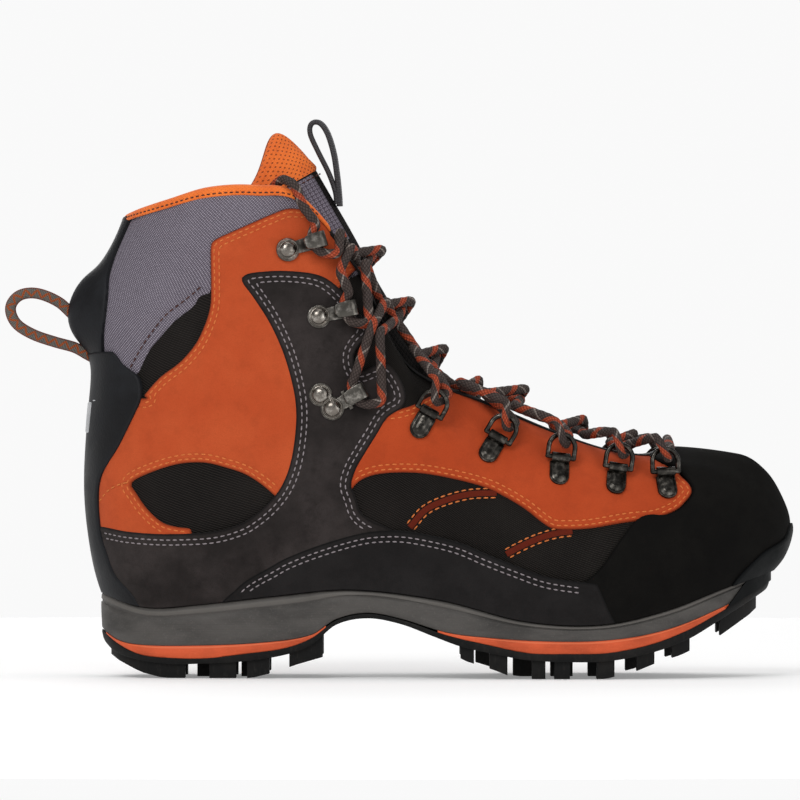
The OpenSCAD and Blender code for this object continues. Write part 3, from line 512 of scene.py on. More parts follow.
def nubuck(name, base, dark, light, nap=0.5, mottling=0.5, edge=None, sheen=0.06):
    """Napped leather: cloudy colour, a fine nap, and a burnished line along its cut edge."""
    s = Shader(name, Sheen_Weight=sheen, Sheen_Roughness=0.5, Specular_IOR_Level=0.07)
    cloud = s.noise(38, 4, 0.6)
    patch = s.ramp(cloud, 0.32, 0.7)
    colour = s.mix(s.math("MULTIPLY", patch, mottling), srgb(base), srgb(light))
    rub = s.ramp(s.noise(140, 5, 0.65), 0.46, 0.7)
    colour = s.mix(s.math("MULTIPLY", rub, 0.45 * mottling), colour, srgb(dark))
    fibre = s.noise(2600, 2, 0.7)
    colour = s.mix(s.ramp(fibre, 0.35, 0.75, 0.0, 0.35), colour, srgb(dark))
    inset = s.split(s.cloth)[2]
    colour = s.mix(s.ramp(inset, -1.3, -0.1, 0.0, 0.75), colour, srgb(edge or dark))
    s.colour(colour)
    s.roughness(s.ramp(cloud, 0.3, 0.7, 0.78, 0.92))
    low = s.bump(s.noise(420, 4, 0.6), 0.12, 0.6)
    s.bump(fibre, 0.05, nap, under=low)
    return s.material


def ribbed_textile(name):
    """Black ribbed cloth: fine slanting ribs crossed by a finer weft."""
    s = Shader(name, Specular_IOR_Level=0.12)
    rib = s.stripes(1.05, 24)
    weft = s.stripes(0.5, 114)
    height = s.math("MULTIPLY_ADD", weft, 0.25, rib)
    height = s.math("MULTIPLY_ADD", s.noise(1500, 2), 0.2, height)
    dusty = s.ramp(s.noise(30, 4, 0.6), 0.35, 0.75)
    colour = s.mix(s.ramp(rib, 0.1, 0.9), srgb("#0B0A09"), srgb("#211D1A"))
    s.colour(s.mix(s.math("MULTIPLY", dusty, 0.3), colour, srgb("#2B2724")))
    s.roughness(s.ramp(rib, 0, 1, 0.85, 0.62))
    s.bump(height, 0.28)
    return s.material


def dotted_fabric(name):
    """Grey padded fabric with a raised dotted weave."""
    s = Shader(name, Specular_IOR_Level=0.15)
    dot = s.dots(1.35, 0.36, 0.16)
    thread = s.noise(2200, 2)
    broad = s.ramp(s.noise(26, 3), 0.3, 0.75)
    ground = s.mix(broad, srgb("#544D58"), srgb("#625B66"))
    colour = s.mix(dot, ground, srgb("#9A939E"))
    s.colour(s.mix(s.ramp(thread, 0.4, 0.7, 0, 0.3), colour, srgb("#3E3842")))
    s.roughness(s.ramp(dot, 0, 1, 0.9, 0.7))
    s.bump(s.math("MULTIPLY_ADD", thread, 0.25, dot), 0.3)
    return s.material


def perforated_knit(name, base, dark, pitch, hole):
    """Soft knitted lining with small holes in staggered rows."""
    s = Shader(name, Sheen_Weight=0.1, Specular_IOR_Level=0.15)
    dot = s.dots(pitch, hole, hole * 0.35)
    knit = s.stripes(0.7, 90)
    colour = s.mix(s.ramp(s.noise(60, 4), 0.3, 0.75), srgb(base), srgb(dark))
    colour = s.mix(s.math("MULTIPLY", dot, 0.75), colour, srgb("#6A2A10"))
    s.colour(colour)
    s.roughness(s.ramp(knit, 0, 1, 0.88, 0.75))
    height = s.math("MULTIPLY_ADD", knit, 0.12, s.math("SUBTRACT", 1.0, dot))
    s.bump(s.math("MULTIPLY_ADD", s.noise(1800, 2), 0.15, height), 0.35)
    return s.material


def woven(name, thread, gap, pitch, fuzz=0.3):
    """Plain over-and-under weave."""
    s = Shader(name, Specular_IOR_Level=0.15)
    a, b = s.stripes(pitch, 0), s.stripes(pitch, 90)
    over = s.math("MAXIMUM", s.math("MULTIPLY", a, s.stripes(pitch * 2, 90)),
                  s.math("MULTIPLY", b, s.stripes(pitch * 2, 0)))
    colour = s.mix(s.ramp(over, 0.05, 0.7), srgb(gap), srgb(thread))
    s.colour(s.mix(s.ramp(s.noise(40, 4), 0.35, 0.8, 0, fuzz), colour, srgb(gap)))
    s.roughness(s.ramp(over, 0, 1, 0.9, 0.7))
    s.bump(s.math("MULTIPLY_ADD", s.noise(1600, 2), 0.2, over), 0.25)
    return s.material


def webbing(name, base, stripe, edge):
    """Narrow woven tape with a zigzag down its middle; cloth is [length, across, 0]."""
    s = Shader(name, Specular_IOR_Level=0.12)
    x, y, _ = s.split(s.cloth)
    zig = s.math("ABSOLUTE", s.math("SUBTRACT", s.math("FLOORED_MODULO", x, 5.0), 2.5))
    line = s.math("ABSOLUTE", s.math("SUBTRACT", y, s.math("MULTIPLY_ADD", zig, 0.9, -1.1)))
    colour = s.mix(s.ramp(line, 0.75, 0.35), srgb(base), srgb(stripe))
    rim = s.ramp(s.math("ABSOLUTE", y), 1.7, 2.1)
    colour = s.mix(rim, colour, srgb(edge))
    rib = s.stripes(0.75, 90)
    s.colour(s.mix(s.ramp(rib, 0.0, 0.5, 0.45, 0.0), colour, srgb("#1C1918")))
    s.roughness(s.ramp(rib, 0, 1, 0.9, 0.65))
    s.bump(s.math("MULTIPLY_ADD", s.noise(1800, 2), 0.25, rib), 0.25)
    return s.material


def fine_leather(name, base, light, roughness=0.45):
    """Smooth coated leather with a small pebbled grain and rubbed high spots."""
    s = Shader(name, Specular_IOR_Level=0.15)
    grain = s.cells(900)
    cloud = s.noise(45, 4, 0.6)
    colour = s.mix(s.ramp(cloud, 0.35, 0.75), srgb(base), srgb(light))
    s.colour(s.mix(s.ramp(s.split(s.cloth)[2], -1.0, -0.1, 0.0, 0.4), colour, srgb(light)))
    s.roughness(s.ramp(cloud, 0.3, 0.8, roughness, roughness + 0.2))
    low = s.bump(s.noise(260, 3), 0.1, 0.6)
    s.bump(grain, 0.09, 0.7, under=low)
    return s.material


def rubber(name, base, dust, grain=0.06, dusty=0.35):
    """Moulded rubber with a fine mould grain, scuffs and a little dust."""
    s = Shader(name, Specular_IOR_Level=0.12)
    cloud = s.noise(55, 5, 0.6)
    scuff = s.ramp(s.noise(700, 4, 0.7, stretch=(1, 1, 0.25)), 0.52, 0.72)
    colour = s.mix(s.ramp(cloud, 0.4, 0.8, 0, dusty), srgb(base), srgb(dust))
    s.colour(s.mix(s.math("MULTIPLY", scuff, 0.25), colour, srgb(dust)))
    s.roughness(s.ramp(cloud, 0.3, 0.8, 0.55, 0.8))
    low = s.bump(s.noise(240, 4), 0.12, 0.5)
    s.bump(s.noise(2400, 2), grain, 0.8, under=low)
    return s.material


def foam_rubber(name, base, dark, light, speckle=0.25):
    """Moulded midsole foam: fine skin grain, faint speckle, darker grime in patches."""
    s = Shader(name, Specular_IOR_Level=0.35)
    cloud = s.noise(34, 4, 0.6, stretch=(1, 1, 2.5))
    colour = s.mix(s.ramp(cloud, 0.35, 0.75), srgb(base), srgb(dark))
    colour = s.mix(s.ramp(s.noise(1300, 2), 0.55, 0.75, 0, speckle), colour, srgb(light))
    share = s.split(s.cloth)[2]
    line = s.math("MULTIPLY", s.ramp(share, 0.80, 0.82), s.ramp(share, 0.93, 0.90))
    s.colour(s.mix(s.math("MULTIPLY", line, 0.45), colour, srgb(light)))
    s.roughness(s.ramp(cloud, 0.3, 0.8, 0.6, 0.75))
    low = s.bump(s.noise(900, 3), 0.07, 0.7)
    s.bump(s.stripes(1.1, 0, s.scaled_place()), 0.05, 0.5, under=low)
    return s.material


def metal(name, base, worn, roughness, grime="#0C0B0A"):
    """Plated metal with worn high spots, grime and fine scratches."""
    s = Shader(name, Metallic=1.0)
    wear = s.ramp(s.noise(330, 4, 0.65), 0.45, 0.75)
    dirt = s.ramp(s.noise(180, 5, 0.7), 0.5, 0.8)
    colour = s.mix(wear, srgb(base), srgb(worn))
    s.colour(s.mix(s.math("MULTIPLY", dirt, 0.45), colour, srgb(grime)))
    s.roughness(s.ramp(dirt, 0, 1, roughness, roughness + 0.25))
    low = s.bump(s.noise(1400, 3, 0.6, stretch=(1, 1, 0.2)), 0.02, 0.6)
    s.bump(s.noise(500, 3), 0.04, 0.4, under=low)
    return s.material


def thread(name, base, dark):
    s = Shader(name, Specular_IOR_Level=0.15)
    twist = s.stripes(0.42, 62)
    s.colour(s.mix(s.ramp(twist, 0.05, 0.6), srgb(dark), srgb(base)))
    s.roughness(s.ramp(twist, 0, 1, 0.85, 0.6))
    s.bump(twist, 0.08)
    return s.material


def soft_foam(name, base, dark):
    s = Shader(name, Specular_IOR_Level=0.2)
    pores = s.cells(1200)
    s.colour(s.mix(s.ramp(pores, 0.1, 0.5), srgb(dark), srgb(base)))
    s.roughness(s.ramp(pores, 0, 0.6, 0.95, 0.8))
    s.bump(pores, 0.25)
    return s.material


def board(name, base, dark):
    s = Shader(name, Specular_IOR_Level=0.25)
    fibre = s.noise(700, 4, 0.7, stretch=(1, 0.15, 1))
    s.colour(s.mix(s.ramp(fibre, 0.35, 0.7), srgb(base), srgb(dark)))
    s.roughness(s.ramp(fibre, 0.3, 0.7, 0.75, 0.9))
    s.bump(fibre, 0.08)
    return s.material


def braided_lace(name):
    """Round braided lace: dark yarns with orange and pale ones; cloth is [length, cosine, sine]."""
    s = Shader(name, Specular_IOR_Level=0.2)
    x, cosine, sine = s.split(s.cloth)
    y = s.math("MULTIPLY", s.math("ARCTAN2", sine, cosine), 0.5 / math.pi)
    right = s.math("FRACT", s.math("MULTIPLY_ADD", x, 1 / 17.0, y))
    left = s.math("FRACT", s.math("MULTIPLY_ADD", x, -1 / 17.0, y))
    count = 8
    lane_r = s.math("FRACT", s.math("MULTIPLY", right, count))
    lane_l = s.math("FRACT", s.math("MULTIPLY", left, count))
    colour = s.mix(s.noise(90, 2), srgb("#3A312F"), srgb("#544843"))
    orange = s.ramp(s.math("ABSOLUTE", s.math("SUBTRACT", right, 0.3)), 0.15, 0.1)
    pale = s.ramp(s.math("ABSOLUTE", s.math("SUBTRACT", left, 0.7)), 0.07, 0.03)
    colour = s.mix(s.math("MULTIPLY", pale, 0.8), colour, srgb("#8D827B"))
    colour = s.mix(s.math("MULTIPLY", orange, 0.9), colour, srgb("#B34A2A"))
    yarn = s.math("MULTIPLY", s.ramp(s.math("ABSOLUTE", s.math("SUBTRACT", lane_r, 0.5)), 0.5, 0.2),
                  s.ramp(s.math("ABSOLUTE", s.math("SUBTRACT", lane_l, 0.5)), 0.5, 0.2))
    s.colour(s.mix(s.ramp(yarn, 0.0, 0.5, 0.6, 0.0), colour, srgb("#0E0C0B")))
    s.roughness(s.ramp(yarn, 0, 1, 0.9, 0.6))
    s.bump(s.math("MULTIPLY_ADD", s.noise(2400, 2), 0.25, yarn), 0.3)
    return s.material


def silver_film(name):
    s = Shader(name, Metallic=0.35, Specular_IOR_Level=0.6)
    beads = s.cells(2400)
    s.colour(s.mix(s.ramp(s.noise(80, 3), 0.4, 0.8), srgb("#B9BABC"), srgb("#8E9093")))
    s.roughness(s.ramp(beads, 0, 0.6, 0.3, 0.5))
    s.bump(beads, 0.05)
    return s.material


MATERIALS = {
    "textile": ribbed_textile("textile"),
    "collar": dotted_fabric("collar"),
    "quarter": nubuck("quarter", "#B44A26", "#8E3A1E", "#C45A33", edge="#7C2F14"),
    "eyestay": nubuck("eyestay", "#AB421F", "#86341A", "#BC4E29", edge="#762A11"),
    "wing": nubuck("wing", "#252120", "#151211", "#3D3736", mottling=0.8, edge="#0E0C0C"),
    "rand": nubuck("rand", "#1C1A1A", "#121111", "#282626", mottling=0.7, edge="#0B0B0B"),
    "toe_cap": nubuck("toe_cap", "#0C0B0A", "#060505", "#171614", mottling=0.7, sheen=0.0),
    "strap": fine_leather("strap", "#131315", "#1E1F22"),
    "trim": fine_leather("trim", "#141313", "#232120"),
    "lining": perforated_knit("lining", "#E36A2C", "#C9551F", 3.2, 0.42),
    "binding": perforated_knit("binding", "#E8742F", "#D0602A", 2.4, 0.3),
    "tape": perforated_knit("tape", "#EE7A32", "#DA6528", 1.9, 0.12),
    "tongue": woven("tongue", "#7E7783", "#474049", 0.9),
    "tongue_black": woven("tongue_black", "#201C1B", "#0B0A0A", 0.9),
    "heel_loop": webbing("heel_loop", "#6B6660", "#A0522D", "#7A3A2C"),
    "tongue_loop": webbing("tongue_loop", "#68676A", "#7A7878", "#4A494B"),
    "outsole": rubber("outsole", "#131313", "#3A3734"),
    "bumper": rubber("bumper", "#050708", "#101415", dusty=0.08),
    "midsole": foam_rubber("midsole", "#4B4845", "#363432", "#66625D"),
    "insert": foam_rubber("insert", "#D2562C", "#A8421F", "#E88055", 0.15),
    "black_nickel": metal("black_nickel", "#34322F", "#77726B", 0.26),
    "nickel": metal("nickel", "#57544F", "#A09B94", 0.28, grime="#161412"),
    "rivet": metal("rivet", "#77716A", "#C2BCB4", 0.26, grime="#1C1917"),
    "steel": metal("steel", "#9A9A9E", "#C8C8CC", 0.3),
    "lace": braided_lace("lace"),
    "thread_grey": thread("thread_grey", "#A59C9F", "#5E5659"),
    "thread_orange": thread("thread_orange", "#EA8A4C", "#A04A20"),
    "thread_dark": thread("thread_dark", "#5C3A34", "#2A1B18"),
    "piping": nubuck("piping", "#7C2A18", "#4E1A0E", "#93351E"),
    "foam": soft_foam("foam", "#D9C27A", "#A58F50"),
    "felt": board("felt", "#3C3C40", "#2A2A2D"),
    "fibre": board("fibre", "#8A7B63", "#5E5341"),
    "stiffener": board("stiffener", "#C9BFA8", "#9D9480"),
    "film": silver_film("film"),
    "tip": fine_leather("tip", "#2A2422", "#3A3330", 0.25),
}


# ---- panels ----
S_STRETCH = 10                     # makes the flat grid's cells about square
EDGE_CUTS = [0.25, 0.8]            # distances from a panel's edge at which its rounding is cut
ROUNDING, ROUNDED_OFF = 0.8, 0.5   # how far in an edge is rounded, and how far it drops
CHANNEL_DEPTH, CHANNEL_HALF = 0.25, 0.38
PANEL_ROOT = -0.2                  # panels start just under the textile's face


class Panel:
    """A sewn panel: the part of the grid inside a region, cut along its edge and stitch rows."""

    def __init__(self, region, height, rows=(), puff=0.0):
        field = region.field(GRID_P[..., 0], GRID_P[..., 2])
        self.rows = rows
        self.height, self.puff = height, puff
        cuts = EDGE_CUTS + [r + step for r in rows for step in (-0.5, 0, 0.5)]
        bm = bmesh.new()
        near = field < 0
        cells = near[:-1, :-1] | near[1:, :-1] | near[:-1, 1:] | near[1:, 1:]
        i, j = np.nonzero(cells)
        columns = S_COUNT + 1
        quads = np.stack([i * columns + j, i * columns + j + 1, (i + 1) * columns + j + 1,
                          (i + 1) * columns + j], -1)
        used, index = np.unique(quads, return_inverse=True)
        flat = np.stack([UU.ravel(), SS.ravel() * S_STRETCH, field.ravel()], -1)[used]
        mesh = bpy.data.meshes.new("cut")
        mesh.from_pydata(flat.tolist(), [], index.reshape(-1, 4).tolist())
        bm.from_mesh(mesh)
        for level in [0.0] + cuts:
            geometry = bm.verts[:] + bm.edges[:] + bm.faces[:]
            bmesh.ops.bisect_plane(bm, geom=geometry, dist=1e-6, plane_co=(0, 0, -level),
                                   plane_no=(0, 0, 1), clear_outer=level == 0.0)
        bm.verts.index_update()
        points = np.array([v.co[:] for v in bm.verts])
        self.u, self.s, self.f = points[:, 0], points[:, 1] / S_STRETCH, points[:, 2]
        self.faces = [[v.index for v in face.verts] for face in bm.faces]
        on_toe_line = lambda edge: all(abs(v.co.x) >= LAST_U - 0.001 for v in edge.verts)
        self.rim = [[v.index for v in edge.verts] for edge in bm.edges
                    if len(edge.link_faces) == 1 and not on_toe_line(edge)]
        self.runs = {row: self.contour(bm, -row) for row in rows}
        bm.free()
        bpy.data.meshes.remove(mesh)

    @staticmethod
    def contour(bm, level):
        """Chains of grid points along one level of the field."""
        edges = [e for e in bm.edges if all(abs(v.co.z - level) < 1e-4 for v in e.verts)]
        links = {}
        for edge in edges:
            a, b = edge.verts
            links.setdefault(a.index, []).append(b.index)
            links.setdefault(b.index, []).append(a.index)
        bm.verts.ensure_lookup_table()
        chains, seen = [], set()
        starts = [v for v in links if len(links[v]) == 1] + list(links)
        for start in starts:
            if start in seen:
                continue
            chain = [start]
            seen.add(start)
            while True:
                ahead = [v for v in links[chain[-1]] if v not in seen]
                if not ahead:
                    break
                chain.append(ahead[0])
                seen.add(ahead[0])
            if len(chain) > 3 and chain[0] in links[chain[-1]]:
                chain.append(chain[0])
            if len(chain) > 3:
                places = [bm.verts[v].co for v in chain]
                chains.append(np.array([[place.x, place.y / S_STRETCH] for place in places]))
        return chains

    def top(self, field):
        """Height of the panel's face, from the distance to its edge."""
        e = -np.asarray(field)
        d = self.height - ROUNDED_OFF * np.clip(1 - e / ROUNDING, 0, 1) ** 2
        for row in self.rows:
            d = d - CHANNEL_DEPTH * np.exp(-((e - row) / CHANNEL_HALF) ** 2)
        inner = max(self.rows) if self.rows else ROUNDING
        return d + self.puff * (1 - np.exp(-np.maximum(e - inner, 0) / 5))

    def piece(self, name, material, swell):
        """The panel as a solid; swell adds height, read at the station and the z of each point."""
        height = self.top(self.f) + swell(self.u, skin_base(self.u, self.s)[:, 2])
        outer = skin(self.u, self.s, height)
        inner = skin(self.u, self.s, PANEL_ROOT)
        count = len(outer)
        faces = self.faces + [[v + count for v in reversed(face)] for face in self.faces]
        faces += [[a, b, b + count, a + count] for a, b in self.rim]
        coords = cloth_coords(self.u, self.s, self.f)
        return mesh_object(name, np.vstack([outer, inner]), faces, MATERIALS[material],
                           cloth=np.vstack([coords, coords]))


# ---- stitches ----
STITCH_LENGTH = 2.3
STITCH_PITCH = 3.1
STITCH_RADIUS = 0.3
STITCH_SHAPE = [(-1, 0.1, -0.5), (-0.82, 0.7, -0.1), (-0.4, 1, 0.25), (0.4, 1, 0.25), (0.82, 0.7, -0.1),
                (1, 0.1, -0.5)]
STITCH_SIDES = 6
STITCH_REACH = 0.6                 # a thread's direction is read this far before and after it
COVERED = 0.8                      # stitches stop this far from a panel that lies over them


def lengths_along(path):
    return np.concatenate([[0], np.cumsum(np.linalg.norm(np.diff(path, axis=0), axis=1))])


def read_line(values, arc, at):
    """Points or directions along a line, read at the given lengths."""
    return np.stack([np.interp(at, arc, values[:, i]) for i in range(3)], -1)


def stitches(name, runs, material, radius=STITCH_RADIUS, pitch=STITCH_PITCH, length=STITCH_LENGTH):
    """Threads laid along runs; a run is (points, normals), and each thread dips in at both ends."""
    centres, tangents, normals = [], [], []
    for points, outward in runs:
        arc = lengths_along(points)
        count = int(arc[-1] / pitch)
        if count < 1:
            continue
        at = (np.arange(count) + 0.5) * arc[-1] / count
        ahead = read_line(points, arc, np.minimum(at + STITCH_REACH, arc[-1]))
        behind = read_line(points, arc, np.maximum(at - STITCH_REACH, 0))
        centres.append(read_line(points, arc, at))
        tangents.append(unit(ahead - behind))
        normals.append(unit(read_line(outward, arc, at)))
    c, t, n = np.vstack(centres), np.vstack(tangents), np.vstack(normals)
    n = unit(n - np.sum(n * t, -1, keepdims=True) * t)
    b = np.cross(n, t)
    verts, coords = [], []
    for along, size, rise in STITCH_SHAPE:
        for k in range(STITCH_SIDES):
            turn = 2 * math.pi * k / STITCH_SIDES
            verts.append(c + t * (along * length / 2) + b * (radius * 1.15 * size * math.cos(turn))
                         + n * (radius * (0.8 * size * math.sin(turn) + rise)))
            coords.append(np.tile([along * length / 2, k / STITCH_SIDES * 2.2, -3], (len(c), 1)))
    rings = len(STITCH_SHAPE)
    each = rings * STITCH_SIDES
    local = grid_faces(rings, STITCH_SIDES, closed=True).tolist()
    caps = [list(range(STITCH_SIDES))[::-1], list(range(each - STITCH_SIDES, each))]
    points = np.stack(verts, 1).reshape(-1, 3)
    faces = [[v + i * each for v in face] for i in range(len(c)) for face in local + caps]
    return mesh_object(name, points, faces, material, 80, np.stack(coords, 1).reshape(-1, 3))


def panel_runs(panel, covers):
    """Stitch runs of a panel, less what lies under other panels."""
    runs = []
    for row, chains in panel.runs.items():
        for chain in chains:
            u, s = chain[:, 0], chain[:, 1]
            points = skin(u, s, panel.top(-row))
            normals = skin_normal(u, s)
            base = skin_base(u, s)
            shown = (s > 0.02) & (s < 0.985)
            for cover in covers:
                shown &= cover.field(base[:, 0], base[:, 2]) > COVERED
            start = None
            for i, good in enumerate(list(shown) + [False]):
                if good and start is None:
                    start = i
                if not good and start is not None:
                    if i - start > 4:
                        runs.append((points[start:i], normals[start:i]))
                    start = None
    return runs


def side_line(points, d, side):
    """A side-view line laid on the upper at distance d; returns points and outward normals."""
    line = smooth_open(points)
    half = GRID_P[U_COUNT // 2:] if side == MEDIAL else GRID_P[U_COUNT // 2::-1]
    xz = half[..., [0, 2]]
    us, ss = [], []
    for target in line:
        gap = np.linalg.norm(xz - target, axis=-1)
        i, j = np.unravel_index(np.argmin(gap), gap.shape)
        i, j = min(max(i, 1), len(half) - 2), min(max(j, 1), S_COUNT - 1)
        across = (xz[i + 1, j] - xz[i - 1, j]) / 2
        up = (xz[i, j + 1] - xz[i, j - 1]) / 2
        a, b = np.linalg.lstsq(np.stack([across, up], -1), target - xz[i, j], rcond=None)[0]
        us.append(side * (i + a) * 2 * LAST_U / U_COUNT)
        ss.append((j + b) / S_COUNT)
    u, s = np.array(us), np.clip(np.array(ss), 0, 1)
    return skin(u, s, d), skin_normal(u, s), u, s


ROWS_ORANGE = (1.6, 3.7)
ROWS_GREY = (2.6, 4.8)
H_COLLAR, H_THROAT, H_ORANGE, H_WING, H_RAND, H_CAP = 0.6, 0.7, 1.1, 1.9, 2.6, 2.2
H_STRAP, H_HEEL, H_BUMPER = 2.2, 2.8, 3.6
PADDING_FACE, PADDING_BACK = -1.1, -4.4


def make_upper():
    """The textile and the inner lining, each one closed layer round the foot."""
    u, s = UU.T[:, :-1], SS.T[:, :-1]
    coords = cloth_coords(u, s, np.full_like(u, -9.0)).reshape(-1, 3)
    layers = [("textile_base", 0.0, -0.9, "textile", "black_textile", "textile_upper"),
              ("inner_lining", -4.6, -5.5, "lining", "lining_mesh", "lining")]
    for name, outer, inner, material, slot, node in layers:
        points, faces = shell(*u.shape, skin(u, s, outer), skin(u, s, inner), closed=True)
        obj = mesh_object(name, points, faces, MATERIALS[material], cloth=np.vstack([coords, coords]))
        place_piece(obj, "boot", slot, node)


def make_padding():
    """The sealed layers between lining and textile."""
    for name, material, slot, node, spans, s0, s1 in [
            ("collar_padding", "foam", "padding_foam", "collar_foam", [(-6, 6)], 0.585, 0.99),
            ("quarter_padding", "foam", "padding_foam", "quarter_foam",
             [(-9.5, -3.6), (3.6, 9.5)], 0.02, 0.57),
            ("heel_stiffener", "stiffener", "stiffener", "heel_counter", [(-3.45, 3.45)], 0.02, 0.57),
            ("toe_stiffener", "stiffener", "stiffener", "toe_puff",
             [(-11.98, -9.6), (9.6, 11.98)], 0.02, 0.98)]:
        parts = []
        for u0, u1 in spans:
            u, s = np.meshgrid(np.linspace(u0, u1, 61), np.linspace(s0, s1, 31), indexing="ij")
            parts.append(shell(*u.shape, skin(u, s, PADDING_FACE), skin(u, s, PADDING_BACK)))
        obj = mesh_object(name, *merged(parts), MATERIALS[material])
        place_piece(obj, "boot", slot, node)


def back_swell(u, z):
    """Padding at the back of the collar, and the fold of the strap where the pull loop is sewn."""
    cushion = 5.0 * np.exp(-u ** 2) * np.exp(-((z - 180) / 19) ** 2)
    fold = 5.5 * np.exp(-(u / 0.5) ** 2) * np.exp(-((z - 168) / np.where(z < 168, 20, 13)) ** 2)
    return cushion + fold


def toe_swell(u, z):
    """Fullness of the toe cap and the bumper at the front of the toe."""
    return 4.5 * np.exp(-((LAST_U - np.abs(u)) / 1.3) ** 2) * np.exp(-((z - 66) / 16) ** 2)


def make_panels():
    collar = Panel(COLLAR, H_COLLAR, puff=1.4)
    quarter = Panel(QUARTER, H_ORANGE, ROWS_ORANGE, 0.35)
    throat = Panel(THROAT, H_THROAT)
    eyestay = Panel(EYESTAY, H_ORANGE, ROWS_ORANGE, 0.3)
    wing = Panel(WING, H_WING, ROWS_GREY, 0.2)
    rand = Panel(RAND, H_RAND, ROWS_GREY, 0.1)
    cap = Panel(TOE_CAP, H_CAP)
    back = Panel(BACK_STRAP, H_STRAP)
    heel = Panel(HEEL_STRAP, H_HEEL)
    bumper = Panel(BUMPER, H_BUMPER)
    film = Panel(REFLECTOR, H_HEEL + 0.4)
    for name, panel, material, slot, node in [
            ("collar_cloth", collar, "collar", "grey_fabric", "collar_fabric"),
            ("quarter_nubuck", quarter, "quarter", "orange_nubuck", "rear_quarters"),
            ("throat_textile", throat, "textile", "black_textile", "eyestays"),
            ("eyestay_nubuck", eyestay, "eyestay", "orange_eyestay", "eyestays"),
            ("wing_nubuck", wing, "wing", "grey_nubuck", "wing_panels"),
            ("rand_nubuck", rand, "rand", "grey_nubuck", "side_rands"),
            ("toe_cap_nubuck", cap, "toe_cap", "black_nubuck", "toe_cap"),
            ("back_strap_leather", back, "strap", "strap_leather", "back_strap"),
            ("heel_strap_leather", heel, "strap", "strap_leather", "heel_strap"),
            ("toe_bumper_rubber", bumper, "bumper", "bumper_rubber", "toe_bumper"),
            ("reflective_strip", film, "film", "reflector_film", "heel_reflector")]:
        swell = back_swell if panel in (collar, back, heel, film) else toe_swell
        place_piece(panel.piece(name, material, swell), "boot", slot, node)
    above = [WING, RAND, HEEL_STRAP, BACK_STRAP, TOE_CAP]
    orange = panel_runs(quarter, above) + panel_runs(eyestay, above)
    grey = panel_runs(wing, [RAND, HEEL_STRAP]) + panel_runs(rand, [TOE_CAP, HEEL_STRAP])
    orange += [side_line(LOWER_SEAM, H_ORANGE + 0.4, side)[:2] for side in (LATERAL, MEDIAL)]
    place_piece(stitches("orange_stitches", orange, MATERIALS["thread_orange"]), "boot", "orange_nubuck")
    place_piece(stitches("grey_stitches", grey, MATERIALS["thread_grey"]), "boot", "grey_nubuck")
    collar_runs = [side_line(COLLAR_SEAM, H_COLLAR + 1.1, side)[:2] for side in (LATERAL, MEDIAL)]
    place_piece(stitches("collar_stitches", collar_runs, MATERIALS["thread_dark"]), "boot", "grey_fabric")


# ---- strips, tubes and turned shapes ----
def merged(parts):
    """One list of points and one of faces from several (points, faces) pairs."""
    points, faces, count = [], [], 0
    for part_points, part_faces in parts:
        points.append(np.reshape(part_points, (-1, 3)))
        faces += [[v + count for v in face] for face in part_faces]
        count += len(points[-1])
    return np.vstack(points), faces


def loft(sections):
    """Points and faces of a capped solid from its cross-sections, [station, point, xyz]."""
    rows, columns = sections.shape[:2]
    ends = [list(range(columns))[::-1], list(range((rows - 1) * columns, rows * columns))]
    return sections.reshape(-1, 3), grid_faces(rows, columns, closed=True).tolist() + ends


def tube(path, a, b, sides, start, flat=1.0):
    """Sections of a tube: a is its half size along the carried side, b across it."""
    along = unit(np.gradient(path, axis=0))
    side = np.asarray(start, float)
    carried = []
    for d in along:
        side = unit(side - (side @ d) * d)
        carried.append(side)
    v = np.array(carried)
    w = np.cross(along, v)
    turn = 2 * np.pi * np.arange(sides) / sides
    c, s = (np.sign(f(turn)) * np.abs(f(turn)) ** flat for f in (np.cos, np.sin))
    return path[:, None] + a * c[None, :, None] * v[:, None] + b * s[None, :, None] * w[:, None]


def tube_cloth(path, sides, second, third):
    """Pattern coordinates of a tube: length, then two values for each side of the section."""
    arc = np.repeat(lengths_along(path), sides)
    return np.stack([arc, np.tile(second, len(path)), np.tile(third, len(path))], -1)


def even_path(route, step, blur):
    """A route read at an even step, with its corners rounded over a few millimetres."""
    arc = lengths_along(route)
    at = np.linspace(0, arc[-1], int(arc[-1] / step) + 1)
    points = read_line(route, arc, at)
    reach = int(3 * blur / step)
    weights = np.exp(-0.5 * (np.arange(-reach, reach + 1) * step / blur) ** 2)
    weights /= weights.sum()
    wide = np.pad(points, ((reach, reach), (0, 0)), mode="reflect", reflect_type="odd")
    return np.stack([np.convolve(wide[:, i], weights, "valid") for i in range(3)], -1)


def lathe(profile_points, sides=40, axis=2):
    """Turned solid from [radius, height] pairs; its first and last loops are closed flat."""
    turn = 2 * np.pi * np.arange(sides) / sides
    p = np.asarray(profile_points, float)
    ring = np.stack([np.cos(turn), np.sin(turn)], -1)
    flat = p[:, None, :1] * ring[None]
    height = np.repeat(p[:, None, 1:], sides, axis=1)
    sections = np.concatenate([flat, height], -1)
    return loft(np.roll(sections, axis + 1, axis=-1))


def ribbon(points, normals, half, thick):
    """A flat band with rounded edges laid along a line."""
    along = unit(np.gradient(points, axis=0))
    across = unit(np.cross(normals, along))
    outward = np.cross(along, across)
    section = [(-1, -0.4), (-1, 0.3), (-0.75, 0.8), (-0.3, 1), (0.3, 1), (0.75, 0.8), (1, 0.3), (1, -0.4)]
    return loft(np.stack([points + half * x * across + thick * z * outward for x, z in section], 1))


